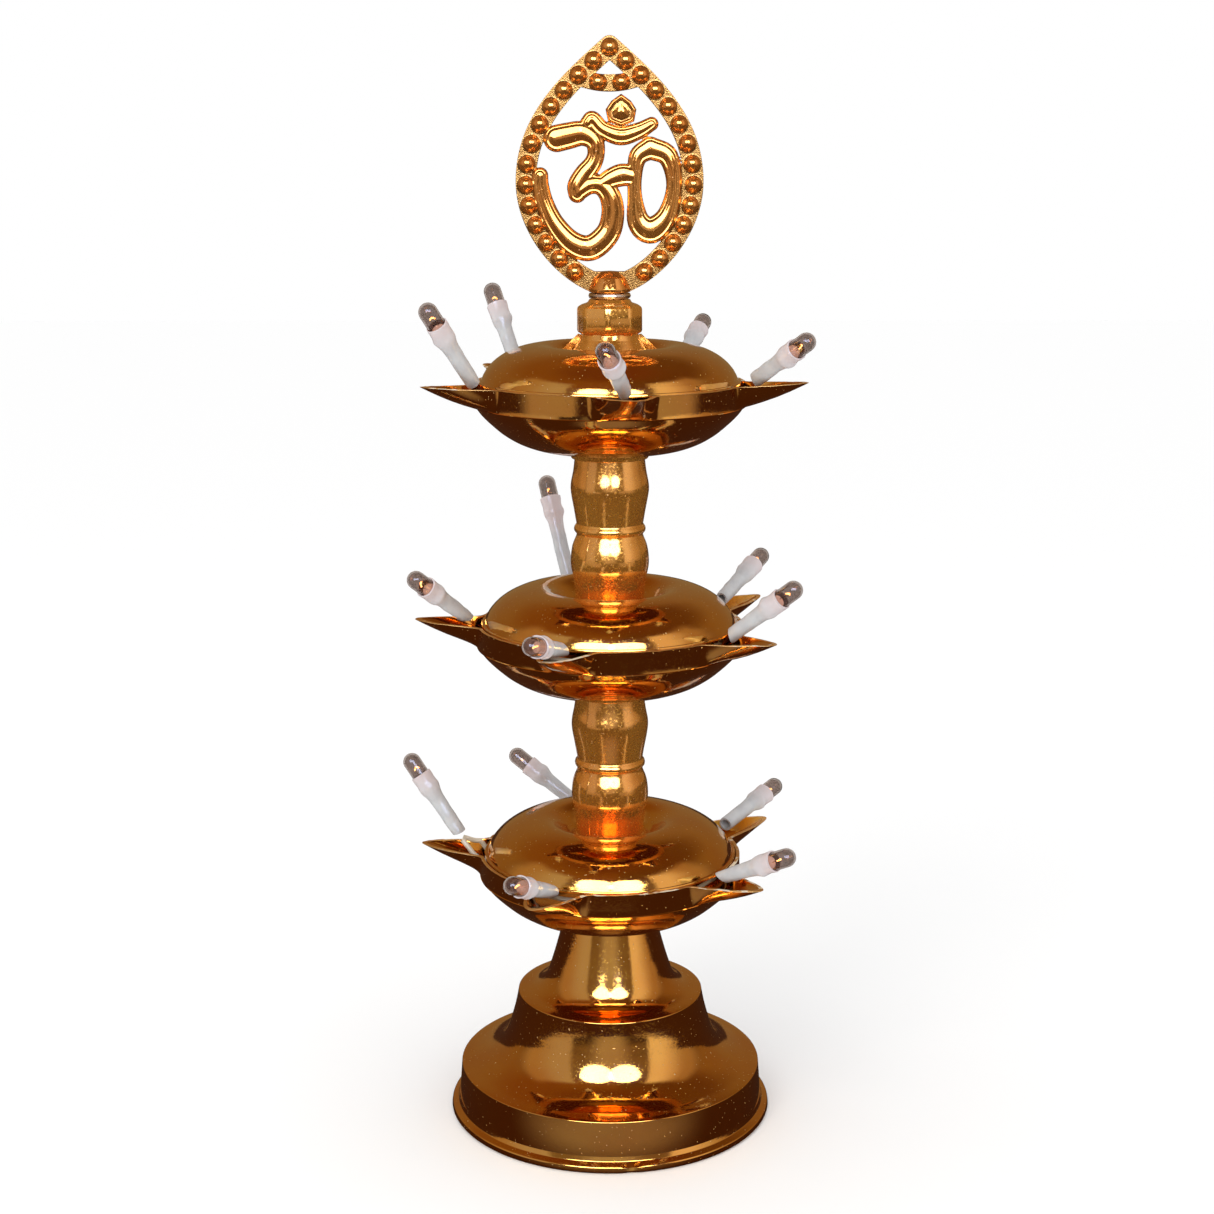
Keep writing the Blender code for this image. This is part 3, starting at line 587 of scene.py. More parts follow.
def spout_ray(angle, reach, half_width):
    """Radius where a ray at this angle from the spout's middle leaves the leaf-shaped spout."""
    near, far = 0.0, reach
    for _ in range(34):
        middle = (near + far) / 2
        along = middle * math.cos(angle)
        share = min(max((reach - along) / (reach - SPOUT_ROOT), 0.0), 3.0)
        if middle * math.sin(angle) < half_width * share ** SPOUT_FULLNESS:
            near = middle
        else:
            far = middle
    return near


def smooth_max(a, b, width):
    mix = min(max(0.5 + 0.5 * (a - b) / width, 0.0), 1.0)
    return b + (a - b) * mix + width * mix * (1 - mix)


def rim_radius(offset, inset):
    reach = SPOUT_REACH - 1.6 * inset
    spout = spout_ray(abs(offset), reach, SPOUT_HALF_WIDTH - inset)
    return smooth_max(spout, BOWL_RADIUS - inset, 2.4)


def tip_rise(radius):
    share = max(radius - BOWL_RADIUS, 0.0) / (SPOUT_REACH - BOWL_RADIUS)
    return TIP_LIFT * min(share, 1.0) ** 1.5


def sector_offsets():
    """Degrees from a spout's middle: close together on the spout, wider on the plain rim."""
    half = [0.0, 0.35, 0.7, 1.1, 1.6, 2.2, 3.0, 3.8, 4.8, 5.8, 6.8, 7.8, 8.8, 9.8, 10.8, 11.8, 12.8, 13.9,
            15.0, 16.2, 17.6, 19.2, 21.0, 23.2, 25.6, 28.4, 31.2, 33.6]
    return [-a for a in half[:0:-1]] + half + [36.0]


def make_bowl(tier, rim, gold, edge):
    """Five-spouted dish: a round underside, a straight band, keeled spouts and a trimmed rim."""
    bottom, band = rim - BOWL_DEPTH, rim - BAND
    under = spline([(15.0, bottom), (21.0, bottom + 0.9), (26.0, bottom + 2.6), (30.2, bottom + 5.0),
                    (33.4, bottom + 7.6), (36.4, bottom + 10.5), (BOWL_RADIUS - 0.3, band - 0.2)], 5)
    under += [(BOWL_RADIUS + r, band + z) for r, z in ((0.1, -0.15), (0.2, 0.05), (0.05, 0.2))]
    inner = spline([(BOWL_RADIUS - BOWL_WALL, band + 0.5), (34.9, bottom + 10.3), (30.0, bottom + 6.3),
                    (25.4, bottom + 3.7), (20.2, bottom + 1.9), (14.6, bottom + BOWL_WALL)], 3)
    rise = [0.0, 0.12, 0.3, 0.5, 0.7, 0.85, 0.95, 1.0]
    seed = 11.0 * list(TIERS).index(tier)
    columns = []
    for spout in range(SPOUTS):
        for offset in sector_offsets():
            columns.append((180.0 + TIER_TURN[tier] + spout * 360.0 / SPOUTS + offset, offset))
    bm = bmesh.new()
    rings = []
    for heading, offset in columns:
        turn = math.radians(heading)
        way = (math.cos(turn), math.sin(turn))
        outer = rim_radius(math.radians(offset), 0.0)
        inside = rim_radius(math.radians(offset), BOWL_WALL)
        ragged = 0.16 * noise.noise((way[0] * 19, way[1] * 19, seed))
        ragged += 0.10 * noise.noise((way[0] * 60, way[1] * 60, seed))
        top = rim + tip_rise(outer) + ragged
        section = [(4.5, bottom), (9.0, bottom)] + under
        for share in rise[1:]:
            swell = 0.5 * math.sin(math.pi * share) * (outer - BOWL_RADIUS) / 18.0
            section.append((BOWL_RADIUS + (outer - BOWL_RADIUS) * share + swell * 0.4,
                            band + (top - band) * share - swell))
        section.append((outer - 0.12, top + 0.10))
        section.append(((outer + inside) / 2, top + 0.05 + 0.4 * ragged))
        section.append((inside + 0.1, top + 0.08))
        for share in rise[:0:-1]:
            section.append((BOWL_RADIUS - BOWL_WALL + (inside - BOWL_RADIUS + BOWL_WALL) * share,
                            band + 0.5 + (top - band - 0.5) * share))
        section += inner + [(4.5, bottom + BOWL_WALL)]
        rings.append([bm.verts.new((r * MM * way[0], r * MM * way[1], z * MM)) for r, z in section])
    edge_rows = {2 + len(under) + len(rise) - 1 + k for k in (-1, 0, 1, 2)}
    for i, ring in enumerate(rings):
        other = rings[(i + 1) % len(rings)]
        for row in range(len(ring)):
            after = (row + 1) % len(ring)
            face = bm.faces.new((ring[row], other[row], other[after], ring[after]))
            face.material_index = 1 if row in edge_rows else 0
    bowl = link_mesh("bowl_" + tier + "_skin", bm, [gold, edge], 24.0)
    settle(bowl, "tier_" + tier, "gold_deep", "bowl_" + tier)


def make_lid(tier, rim, gold):
    """Domed lid with a hollow middle, a shoulder and a small step round its edge."""
    dome = spline([(36.0, 1.9), (34.8, 3.9), (32.6, 6.2), (29.6, 8.2), (25.6, 9.8), (20.4, 10.7),
                   (16.9, 9.9), (14.6, 7.7), (13.3, 5.9)], 5)
    under = spline([(13.4, 4.2), (15.2, 6.8), (17.4, 8.9), (20.4, 9.6), (25.2, 8.7), (29.0, 7.1),
                    (31.8, 5.2), (33.8, 2.9), (35.0, 0.6)], 3)
    lip = [(37.3, -0.3), (37.3, 0.35), (37.15, 0.55), (36.85, 0.6), (36.7, 0.4), (36.5, 0.42), (36.35, 0.8)]
    rows = lip + dome + [(12.5, 5.0), (4.5, 4.9), (4.5, 3.9), (12.8, 3.9)] + under + [(35.6, -0.3)]
    lid = lathe("lid_" + tier + "_skin", [(r, rim + z) for r, z in rows], [gold], 176, sharp=38.0)
    settle(lid, "tier_" + tier, "gold_deep", "lid_" + tier)


# ---------------------------------------------------------------- cap and neck

CAP_CORNER = 9.4
CAP_PHASE = math.radians(41.0)


def octagon_radius(angle, corner):
    """Radius of a regular octagon with slightly rounded corners."""
    wedge = 2 * math.pi / 8
    off = (angle - CAP_PHASE + wedge / 2) % wedge - wedge / 2
    flat = corner * math.cos(wedge / 2) / math.cos(wedge / 2 - abs(off))
    return min(flat, corner - 0.22)


def make_cap(gold):
    """Eight-sided cap: conical skirt in the lid's hollow, waist, flats, chamfer and neck."""
    skirt = filleted([(12.3, 225.4, 0.0), (12.45, 226.0, 0.3), (8.5, 232.2, 1.2), (8.0, 233.5, 0.3)], 4)
    flats = [(8.6, 233.8), (9.15, 234.1), (CAP_CORNER, 234.6), (CAP_CORNER, 240.4), (9.2, 241.1),
             (8.7, 241.5)]
    neck = filleted([(8.0, 241.8, 0.0), (6.3, 242.4, 0.5), (5.9, 243.0, 0.3), (5.7, 243.3, 0.0)], 3)
    rows = [(r, z, 0) for r, z in skirt] + [(r, z, 1) for r, z in flats] + [(r, z, 0) for r, z in neck]
    rows += [(4.3, 243.3, 0), (4.3, 225.4, 0)]

    def shape(row, angle):
        r, z, eight = row
        dent = 0.07 * noise.noise((math.cos(angle) * 3.1, math.sin(angle) * 3.1, z * 0.4))
        if eight:
            return octagon_radius(angle, r) + dent, z
        return (r if r < 5.0 else r + dent), z

    bm = bmesh.new()
    wedge, per_side = 0.7854, 14
    within = [CAP_PHASE % wedge + k * wedge / per_side for k in range(per_side)]
    angles = sorted(a + d for a in even_angles(8) for d in within)
    revolve(bm, rows, [a % (2 * math.pi) for a in angles], shape)
    for side in (0.0, math.pi):
        add_gusset(bm, side)
    settle(link_mesh("cap_nut_skin", bm, [gold], 30.0), "stem", "gold_light", "cap_nut")


def add_gusset(bm, angle):
    """Thin bright rib that stands on the skirt, from under the flats to the lid's slope."""
    outline = [(7.6, 233.2), (8.9, 233.6), (13.4, 229.3), (13.9, 228.2), (12.9, 227.6), (9.4, 230.6)]
    out_x, out_y = math.cos(angle), math.sin(angle)
    sides = []
    for half in (-0.45, 0.45):
        ring = []
        for r, z in outline:
            x, y = r * out_x - half * out_y, r * out_y + half * out_x
            ring.append(bm.verts.new((x * MM, y * MM, z * MM)))
        sides.append(ring)
    bm.faces.new(sides[0][::-1])
    bm.faces.new(sides[1])
    for k in range(len(outline)):
        m = (k + 1) % len(outline)
        bm.faces.new((sides[0][k], sides[0][m], sides[1][m], sides[1][k]))


def make_lock_ring(steel):
    low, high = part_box("lock_ring")
    z0, z1 = low.z / MM, high.z / MM
    rows = filleted([(4.3, z0, 0.0), (5.75, z0, 0.3), (6.0, (z0 + z1) / 2, 0.4), (5.75, z1, 0.3),
                     (4.3, z1, 0.0)], 4)
    settle(lathe("lock_ring_skin", rows, [steel], 72), "finial_ring", "steel", "lock_ring")


# ---------------------------------------------------------------- finial

FINIAL_TOP = 315.0
FINIAL_NECK = 245.4
BORDER = 5.6                   # width of the beaded border
BEAD = 2.2                     # radius of a bead
PLATE = 2.4                    # thickness of the plate
CELL = 0.21                    # spacing of the finial's grid

# Middle lines of the sign's strokes as (x, z, width)
UPPER_ARM = [(-14.6, 287.4, 7.4), (-11.4, 288.1, 7.2), (-7.6, 288.7, 6.6), (-4.4, 286.9, 5.4),
             (-3.7, 283.7, 4.8), (-4.6, 280.7, 5.0), (-7.0, 277.7, 5.6), (-8.8, 274.6, 5.8),
             (-9.0, 272.4, 5.0)]
LOWER_ARM = [(-9.0, 272.6, 4.8), (-5.6, 274.8, 5.2), (-2.2, 274.6, 5.6), (0.2, 271.6, 6.0),
             (0.9, 266.8, 6.4), (-0.6, 261.4, 6.8), (-5.4, 257.5, 7.1), (-10.6, 258.9, 6.5),
             (-15.2, 263.9, 5.6), (-18.0, 269.6, 5.0), (-19.2, 274.6, 4.6), (-19.3, 277.4, 4.4)]
HOOK = [(-2.2, 275.2, 4.4), (0.6, 276.6, 5.6), (3.6, 277.5, 6.2), (6.2, 277.2, 5.4)]
LOOP = [(11.3, 284.8, 6.2), (8.0, 282.6, 5.2), (7.05, 277.9, 4.1), (7.05, 271.4, 4.1), (8.2, 264.6, 6.4),
        (11.8, 262.4, 7.3), (16.0, 266.4, 5.6), (17.9, 274.6, 4.2), (16.3, 282.4, 5.6), (11.3, 284.8, 6.2)]
CRESCENT = [(-6.0, 291.6, 4.2), (-4.7, 292.6, 4.4), (-2.0, 289.9, 4.6), (3.0, 288.1, 5.2),
            (8.0, 289.4, 4.6), (11.6, 291.3, 3.8)]
DROP = [(3.2, 299.4), (5.9, 297.5), (7.4, 295.2), (6.8, 292.0), (3.2, 290.6), (-0.4, 292.0),
        (-1.1, 295.2), (0.5, 297.5)]


def leaf_side(steps):
    """Right half of the leaf's outline, apex first."""
    def bezier(p0, p1, p2, p3):
        points = []
        for k in range(steps + 1):
            t = k / steps
            s = 1 - t
            points.append(tuple(s ** 3 * a + 3 * s * s * t * b + 3 * s * t * t * c + t ** 3 * d
                                for a, b, c, d in zip(p0, p1, p2, p3)))
        return points
    apex = [(2.6 * math.sin(k * 0.19), FINIAL_TOP - 2.6 + 2.6 * math.cos(k * 0.19)) for k in range(5)]
    upper = bezier(apex[-1], (13.6, 304.2), (26.1, 293.2), (26.1, 275.5))
    lower = bezier((26.1, 275.5), (26.1, 262.0), (15.6, 249.4), (5.4, FINIAL_NECK))
    return apex[:-1] + upper + lower[1:]


def chain_distance(px, pz, points):
    """Signed distance to a chain of round-ended strokes, with each point's (x, z, width).
    Also gives the half width of the nearest stroke there."""
    best = np.full(px.shape, 1e9)
    half = np.zeros(px.shape)
    for (ax, az, aw), (bx, bz, bw) in zip(points, points[1:]):
        dx, dz = bx - ax, bz - az
        t = np.clip(((px - ax) * dx + (pz - az) * dz) / (dx * dx + dz * dz + 1e-9), 0.0, 1.0)
        width = (aw + (bw - aw) * t) / 2
        gap = np.hypot(px - ax - t * dx, pz - az - t * dz) - width
        half = np.where(gap < best, width, half)
        best = np.minimum(best, gap)
    return best, half


def polygon_distance(px, pz, points):
    """Signed distance to a closed polygon, negative inside."""
    best = np.full(px.shape, 1e9)
    inside = np.zeros(px.shape, bool)
    for (ax, az), (bx, bz) in zip(points, points[1:] + points[:1]):
        dx, dz = bx - ax, bz - az
        t = np.clip(((px - ax) * dx + (pz - az) * dz) / (dx * dx + dz * dz + 1e-9), 0.0, 1.0)
        best = np.minimum(best, np.hypot(px - ax - t * dx, pz - az - t * dz))
        crosses = ((az > pz) != (bz > pz)) & (px < ax + (pz - az) * dx / (dz if dz else 1e-9))
        inside ^= crosses
    return np.where(inside, -best, best)


def bead_centres():
    """Evenly spaced points along the middle of the border, apex first, and two on the crossbar."""
    side = leaf_side(40)
    line = [(0.0, FINIAL_TOP - 3.1)]
    for k in range(2, len(side) - 1):
        (ax, az), (bx, bz) = side[k - 1], side[k + 1]
        run = math.hypot(bx - ax, bz - az)
        x, z = side[k][0] + (bz - az) / run * BORDER / 2, side[k][1] - (bx - ax) / run * BORDER / 2
        if x > 2.2:
            line.append((x, z))
    lengths = [0.0]
    for a, b in zip(line, line[1:]):
        lengths.append(lengths[-1] + math.hypot(b[0] - a[0], b[1] - a[1]))
    each = 13
    spacing = (lengths[-1] - 5.4) / each
    centres = [line[0]]
    for count in range(1, each + 1):
        x = float(np.interp(count * spacing, lengths, [p[0] for p in line]))
        z = float(np.interp(count * spacing, lengths, [p[1] for p in line]))
        centres += [(x, z), (-x, z)]
    return centres + [(-3.2, 302.6), (3.2, 302.6)]


def finial_field(px, pz):
    """Signed distance of the whole pierced plate, and its half thickness, at grid points; mm."""
    side = leaf_side(30)
    outline = side + [(-x, z) for x, z in side[::-1]]
    leaf = polygon_distance(px, pz, outline)
    border = np.maximum(leaf, -(leaf + BORDER))
    crossbar = np.maximum(np.abs(pz - 302.3 - 0.02 * px ** 2) - 2.3, leaf)
    plate = np.minimum(border, crossbar)
    lug = np.maximum(np.hypot(px - 20.6, (pz - 274.0) * 0.45) - 2.6, leaf)
    plate = np.minimum(plate, lug)
    foot = np.hypot(px, (pz - FINIAL_NECK) * 1.1) - 6.2
    plate = np.minimum(plate, np.maximum(foot, leaf))

    sign = np.full(px.shape, 1e9)
    width = np.zeros(px.shape)
    for stroke in (UPPER_ARM, LOWER_ARM, HOOK, LOOP, CRESCENT):
        gap, half = chain_distance(px, pz, spline(stroke, 6))
        width = np.where(gap < sign, half, width)
        sign = np.minimum(sign, gap)
    rise = stroke_rise(sign, width)
    drop = polygon_distance(px, pz, DROP)
    sign = np.minimum(sign, drop)
    depth = np.clip(-drop, 0.0, 4.0)
    facet = 0.9 * np.clip(depth / 0.35, 0, 1) - 0.75 * np.clip((depth - 0.7) / 0.6, 0, 1)
    facet += 0.42 * np.clip(depth - 1.3, 0.0, 2.0)
    rise = np.where(drop < 0, np.maximum(facet, 0.15), rise)

    solid = np.minimum(plate, sign)
    edge = np.clip(-solid / 0.35, 0.0, 1.0)
    thick = PLATE / 2 - 0.28 * (1 - np.sqrt(np.clip(1 - (1 - edge) ** 2, 0, 1)))
    thick = thick + np.where(sign < 0, 0.95 * rise, 0.0)
    for cx, cz in bead_centres():
        away = np.hypot(px - cx, pz - cz)
        dome = np.sqrt(np.clip(BEAD ** 2 - away ** 2, 0.0, None))
        thick = np.maximum(thick, PLATE / 2 + dome * 0.92)
    return solid, thick


def stroke_rise(gap, half):
    """Section of a moulded stroke: a raised rim, a shallow groove, and a broad round ridge."""
    depth = np.clip(-gap, 0.0, None)
    rim = np.interp(depth, [0.0, 0.22, 0.5, 0.8, 1.2, 1.6], [0.0, 0.52, 0.88, 0.98, 0.84, 0.72])
    share = np.clip((depth - 1.3) / np.maximum(half - 1.3, 0.7), 0.0, 1.0)
    ridge = 0.72 + 0.42 * np.sin(share * math.pi / 2)
    return np.where(gap < 0, np.where(depth > 1.2, np.maximum(rim, ridge), rim), 0.0)


def softened(values, keep):
    """values moved half way to the mean of their kept neighbours."""
    total, count = np.zeros(values.shape), np.zeros(values.shape)
    for axis in (0, 1):
        for way in (-1, 1):
            there = np.roll(keep, way, axis)
            total += np.where(there, np.roll(values, way, axis), 0.0)
            count += there
    return np.where(count > 0, (values + total / np.maximum(count, 1)) / 2, values)


def make_finial(gold):
    """Pierced leaf plate as two relief skins that meet round every edge, with its boss and stud."""
    xs = np.arange(-27.2, 27.2 + CELL / 2, CELL)
    zs = np.arange(FINIAL_NECK - 1.4, FINIAL_TOP + 0.8, CELL)
    px, pz = np.meshgrid(xs, zs, indexing="ij")
    solid, _ = finial_field(px, pz)
    # a grid point close to the outline slides onto it along the field's slope
    for _ in range(3):
        slope_x, slope_z = np.gradient(solid, CELL)
        steep = np.maximum(np.hypot(slope_x, slope_z), 0.3)
        near = np.abs(solid) < 0.62 * CELL
        px = np.where(near, px - solid * slope_x / steep ** 2 * 0.9, px)
        pz = np.where(near, pz - solid * slope_z / steep ** 2 * 0.9, pz)
        moved, thick = finial_field(px, pz)
        solid = np.where(near, 0.02 * moved, moved)
    keep = solid < 0.05
    for _ in range(3):
        thick = softened(thick, keep)

    bm = bmesh.new()
    skins = []
    for side in (-1, 1):
        verts = {}
        for i, j in zip(*np.nonzero(keep)):
            verts[i, j] = bm.verts.new((px[i, j] * MM, side * thick[i, j] * MM, pz[i, j] * MM))
        skins.append(verts)
    used = set()
    front, back = skins
    for i in range(len(xs) - 1):
        for j in range(len(zs) - 1):
            corners = [(i, j), (i + 1, j), (i + 1, j + 1), (i, j + 1)]
            corners = [c for c in corners if c in front]
            if len(corners) < 3:
                continue
            bm.faces.new([front[c] for c in corners])
            bm.faces.new([back[c] for c in corners[::-1]])
            for a, b in zip(corners, corners[1:] + corners[:1]):
                used.symmetric_difference_update({frozenset((a, b))})
    for pair in used:
        a, b = tuple(pair)
        bm.faces.new((front[a], front[b], back[b], back[a]))
    loose = [v for v in bm.verts if not v.link_faces]
    bmesh.ops.delete(bm, geom=loose, context="VERTS")

    boss = filleted([(0.0, 237.8, 0.0), (3.6, 237.8, 0.3), (3.9, 238.3, 0.3), (3.9, 245.3, 0.0),
                     (5.9, 245.3, 0.3), (5.95, 246.3, 0.4), (4.7, 249.3, 1.0), (2.6, 251.0, 1.0),
                     (0.0, 251.2, 0.0)], 4)
    settle(lathe("finial_boss", boss, [gold], 64, False, 40.0), "finial", "gold_light")
    settle(link_mesh("finial_skin", bm, [gold], 181.0), "finial", "gold_light", "finial")


# ---------------------------------------------------------------- lamps

SEAT_RADIUS = 41.0
SEAT_RISE = 1.0
SLEEVE_LENGTH = 21.4
LAMP_LENGTH = 28.5
GLASS = 2.65                    # radius of a bulb
COIL, COIL_TURN = 0.15, 1.9     # radius of the filament's coil, and radians from point to point
LAMP_LEAN = {
    "lower": ((55, -10), (22, -2), (26, 2), (15, 17), (35, 60)),
    "middle": ((35, 50), (15, 0), (38, 2), (23, 19), (63, 11)),
    "upper": ((53, 19), (31, -20), (29, -43), (26, 9), (57, -8)),
}
LAMP_PULLED = {("lower", 0): (4.1, 3.2, 0.0), ("middle", 4): (0.0, 3.7, 5.5)}


def lamp_matrix(tier, index, rim):
    """Place of a lamp: +Z along it, from the sleeve's lower end to the bulb."""
    lift, swing = LAMP_LEAN[tier][index]
    more_radius, more_rise, extra = LAMP_PULLED.get((tier, index), (0.0, 0.0, 0.0))
    heading = math.radians(180.0 + index * 360.0 / SPOUTS + TIER_TURN[tier])
    level, climb = heading + math.radians(swing), math.radians(lift)
    radius = (SEAT_RADIUS + more_radius) * MM
    seat = Vector((radius * math.cos(heading), radius * math.sin(heading),
                   (rim + SEAT_RISE + more_rise) * MM))
    ahead = Vector((math.cos(level) * math.cos(climb), math.sin(level) * math.cos(climb), math.sin(climb)))
    turn = Vector((0, 0, 1)).rotation_difference(ahead).to_matrix().to_4x4()
    return Matrix.Translation(seat) @ turn, extra


def make_sleeve(label, body, place, extra, draw, plastic):
    """Shrunk tube: flared mouth round the glass, a lump over the joint, a slim tail cut aslant."""
    mouth = SLEEVE_LENGTH + extra
    lump = draw.uniform(4.4, 5.2)
    outside = spline([(2.15, 0.0), (2.25, 2.0), (2.2, mouth * 0.32), (2.22, mouth - 10.2),
                      (2.42, mouth - 7.6), (3.0, mouth - lump - 0.6), (2.98, mouth - lump + 1.2),
                      (2.95, mouth - 2.4), (3.14, mouth - 0.15)], 5)
    inside = [(GLASS + 0.1, mouth + 0.02), (GLASS + 0.08, mouth - 4.6), (1.7, mouth - 6.6), (1.55, 0.0)]
    shift = draw.uniform(0.0, 50.0)
    slant, bulge_angle = draw.uniform(0.0, 6.283), draw.uniform(0.0, 6.283)
    slope = draw.uniform(0.5, 1.6)

    def shape(row, angle):
        r, z = row
        if r > GLASS + 0.11 or (z < mouth - 5.0 and r > 1.8):
            r += 0.16 * noise.noise((math.cos(angle) * 1.1 + shift, math.sin(angle) * 1.1, z * 0.33))
            r += 0.06 * noise.noise((math.cos(angle) * 3.4 + shift, math.sin(angle) * 3.4, z * 0.8))
            bulge = math.exp(-((z - (mouth - lump)) / 1.1) ** 2)
            r += 0.30 * bulge * max(0.0, math.cos(angle - bulge_angle)) ** 2
        low = max(0.0, 1.0 - z / 4.0)
        z += slope * low * (1 + math.cos(angle - slant))
        return r, z

    bm = bmesh.new()
    revolve(bm, outside + inside, even_angles(36), shape)
    flatten_tail(bm, slant)
    sleeve = link_mesh("sleeve_" + label + "_skin", bm, [plastic], 40.0)
    sleeve.matrix_world = place
    settle(sleeve, body, "sleeve_white", "sleeve_" + label)


def flatten_tail(bm, slant):
    """The lower end of the tube is pinched flatter, square to the cut."""
    across = Vector((math.cos(slant), math.sin(slant), 0.0))
    for vert in bm.verts:
        share = max(0.0, 1.0 - vert.co.z / (7.0 * MM))
        vert.co -= across * (vert.co.dot(across) * 0.22 * share)


def make_bulb(label, body, place, extra, draw, glass, glow, bead, wire):
    """Smoked dome with its glass foot, two supports and a lit filament inside."""
    mouth, tip = SLEEVE_LENGTH + extra, LAMP_LENGTH + extra
    low = mouth - 4.2

    def dome(radius, base, top):
        arc = [(radius * math.cos(k * math.pi / 20), top - radius + radius * math.sin(k * math.pi / 20))
               for k in range(10)]
        return [(radius, base)] + arc + [(0.0, top)]

    outer = dome(GLASS, low, tip)
    inner = dome(GLASS - 0.38, low, tip - 0.5)
    bm = bmesh.new()
    revolve(bm, [(0.0, low)] + outer, even_angles(32), lambda row, angle: row, closed=False)
    skin = link_mesh("bulb_" + label + "_skin", bm, [glass], 60.0)
    bm = bmesh.new()
    revolve(bm, [(0.0, low + 0.3)] + [(r, z + (0.3 if k == 0 else 0.0)) for k, (r, z) in enumerate(inner)],
            even_angles(32), lambda row, angle: row, closed=False)
    bmesh.ops.recalc_face_normals(bm, faces=bm.faces)
    hollow = link_mesh("bulb_" + label + "_hollow", bm, [glass], 60.0)
    hollow.data.flip_normals()
    height = mouth + draw.uniform(1.5, 2.3)
    turn = draw.uniform(0.0, math.pi)
    legs = []
    for side in (-1, 1):
        x, y = side * 0.85 * math.cos(turn), side * 0.85 * math.sin(turn)
        legs.append((x, y, height))
    bm = bmesh.new()
    for x, y, z in legs:
        tube(bm, [(x * 0.45, y * 0.45, low + 0.6), (x * 0.5, y * 0.5, mouth - 0.6), (x, y, z)], 0.12, 6)
    supports = link_mesh("supports_" + label, bm, [wire])
    bm = bmesh.new()
    arch = []
    for k in range(41):
        t = k / 40
        x = legs[0][0] + (legs[1][0] - legs[0][0]) * t
        y = legs[0][1] + (legs[1][1] - legs[0][1]) * t
        bow = 0.55 * math.sin(math.pi * t)
        aside = COIL * math.cos(k * COIL_TURN)
        arch.append((x - math.sin(turn) * aside, y + math.cos(turn) * aside,
                     height + bow + COIL * math.sin(k * COIL_TURN)))
    tube(bm, arch, 0.14, 5)
    filament = link_mesh("filament_" + label, bm, [glow])
    foot = [(0.0, -3.4), (2.1, -3.3), (2.15, -1.9), (1.7, -0.9), (0.8, -0.4), (0.0, -0.2)]
    drop = lathe("bead_" + label, [(r, mouth + z) for r, z in foot], [bead], 20, False, 60.0)
    for part in (skin, hollow, supports, filament, drop):
        part.matrix_world = place
    settle(skin, body, "smoked_glass", "bulb_" + label)
    for part in (hollow, supports, filament, drop):
        settle(part, body, "smoked_glass")


def make_lamps(materials):
    draw = random.Random(4)
    for tier, rim in TIERS.items():
        for index in range(SPOUTS):
            label = f"{tier}_{index + 1}"
            place, extra = lamp_matrix(tier, index, rim)
            body = "lamp_" + label
            make_sleeve(label, body, place, extra, draw, materials["sleeve"])
            make_bulb(label, body, place, extra, draw, materials["glass"], materials["glow"],
                      materials["bead"], materials["support"])


# ---------------------------------------------------------------- leads

LEAD_RADIUS = 0.75


def tier_turned(points, tier):
    turn = Matrix.Rotation(math.radians(TIER_TURN[tier]), 3, "Z")
    return [tuple(turn @ Vector(p)) for p in points]


def make_visible_leads(ivory):
    """The two ivory wires of the lamp that is pulled out of the lower tier's left spout."""
    rim = TIERS["lower"]
    routes = {
        "lead_over_rim": [(-44.2, 1.2, rim + 2.6), (-41.5, 2.6, rim + 1.3), (-39.4, 3.6, rim + 0.6),
                          (-38.0, 4.2, rim - 1.5), (-36.6, 4.6, rim - 3.4)],
        "lead_into_spout": [(-44.2, -1.2, rim + 2.6), (-42.2, -1.6, rim + 0.2),
                            (-40.2, -2.0, rim - 2.0), (-37.0, -2.4, rim - 3.6)],
    }
    for name, points in routes.items():
        bm = bmesh.new()
        tube(bm, spline(tier_turned(points, "lower"), 8), LEAD_RADIUS, 14)
        settle(link_mesh(name + "_skin", bm, [ivory], 60.0), "tier_lower", "lead_pvc", name)


# ---------------------------------------------------------------- everything

def paint(names, material):
    """Gives carried-over CAD nodes their finish."""
    for name in names:
        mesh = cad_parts[name].data
        mesh.materials.clear()
        mesh.materials.append(material)


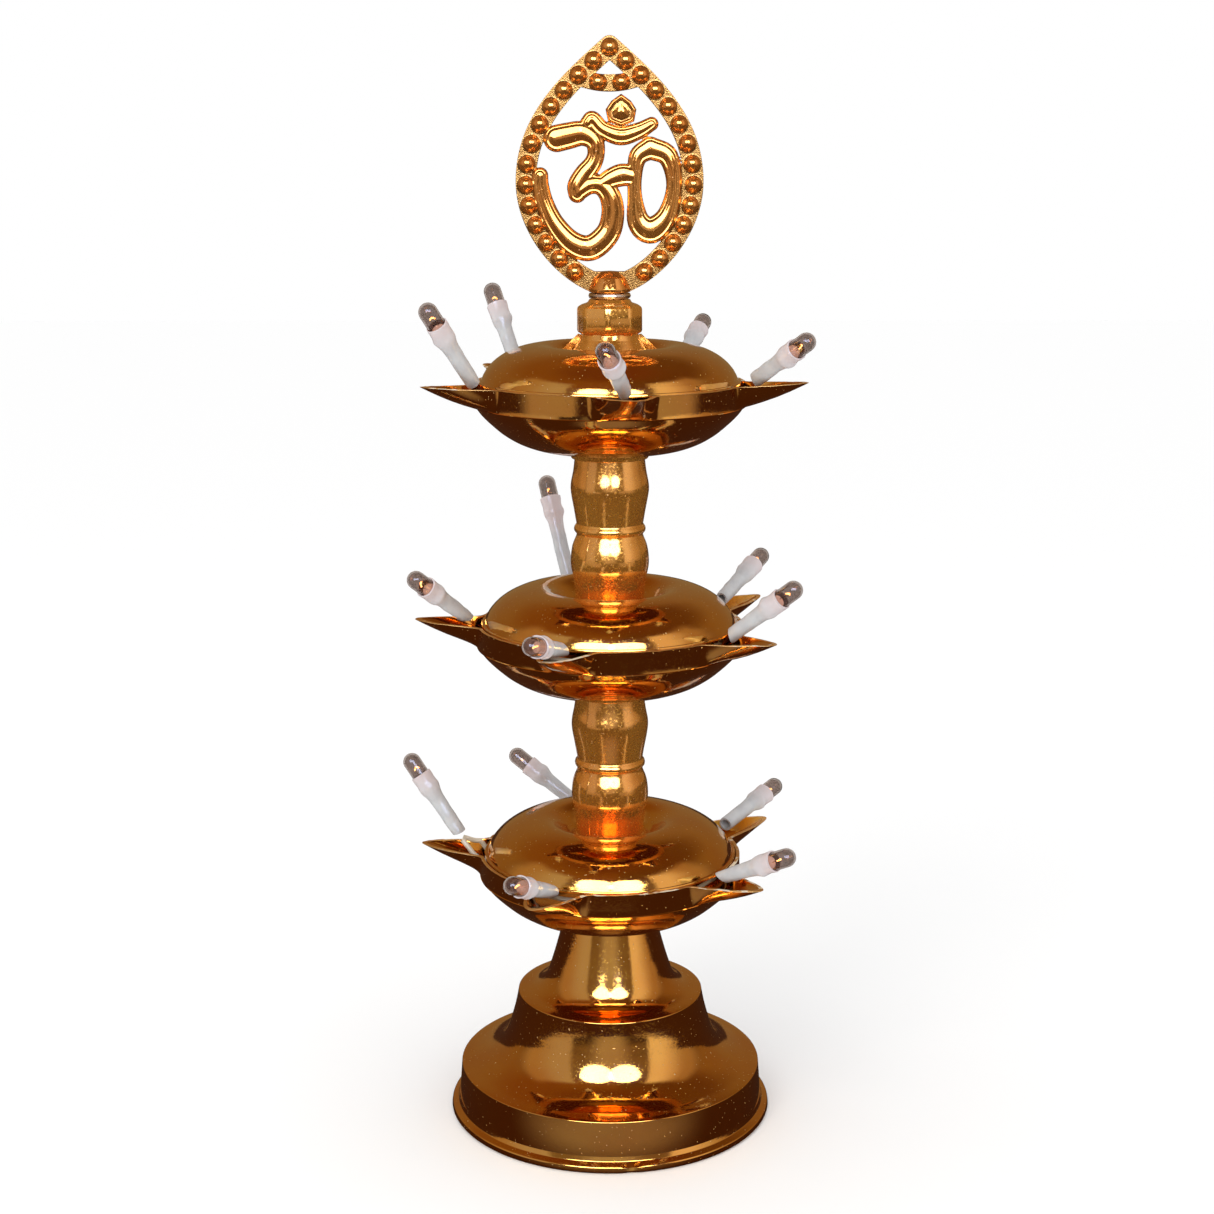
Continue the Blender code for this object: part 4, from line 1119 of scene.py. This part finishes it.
def main():
    make_camera()
    make_studio()
    make_floor()
    make_softbox("glint_left", (-0.40, -1.45, 0.88), (0.98, 0.98), 25.0, True)
    make_softbox("glint_right", (0.42, -1.45, 0.86), (0.92, 0.94), 22.5, True)
    make_softbox("key_shade", (-0.25, -0.40, 0.55), (0.30, 0.30), 0.8, False)

    deep = metallised("gold_deep", (0.92, 0.45, 0.050), (0.87, 0.37, 0.035), 0.03, 0.010, 0.12, 0.0)
    light = metallised("gold_light", (0.97, 0.45, 0.065), (0.93, 0.36, 0.045), 0.08, 0.012, 0.24, 0.19)
    leaf = metallised("gold_leaf", (0.92, 0.39, 0.075), (0.86, 0.31, 0.05), 0.012, 0.005, 0.14, 0.12, True)
    edge = trimmed_edge((0.88, 0.50, 0.15))
    steel = satin("plated_steel", (0.80, 0.64, 0.44), (0.66, 0.50, 0.32), 300.0, 0.25, 1.0)
    ivory = satin("ivory_pvc", (0.83, 0.77, 0.62), (0.74, 0.67, 0.52), 200.0, 0.42)
    rubber = satin("black_rubber", (0.035, 0.033, 0.03), (0.02, 0.02, 0.02), 150.0, 0.6, 0.0, 0.1)
    board = satin("dark_moulding", (0.11, 0.10, 0.09), (0.07, 0.065, 0.06), 60.0, 0.55, 0.0, 0.1)
    natural = satin("natural_tube", (0.76, 0.73, 0.66), (0.66, 0.62, 0.55), 120.0, 0.45)

    make_base(deep)
    for name in ("column_lower", "column_upper"):
        make_column(name, light)
    for tier, rim in TIERS.items():
        make_bowl(tier, rim, deep, edge)
        make_lid(tier, rim, deep)
    make_cap(light)
    make_lock_ring(steel)
    make_finial(leaf)
    make_lamps({"sleeve": sleeve_plastic(), "glass": smoked_glass(), "glow": filament_glow(),
                "bead": lit_glass_foot(), "support": steel})
    make_visible_leads(ivory)

    paint(["tie_pipe", "bottom_washer", "bottom_nut"], steel)
    paint(["cord_grommet"], rubber)
    paint(["base_cover"], board)
    paint(["spacer_" + tier for tier in TIERS], natural)
    paint(["harness_" + tier for tier in TIERS] + ["trunk_lead"], ivory)


main()
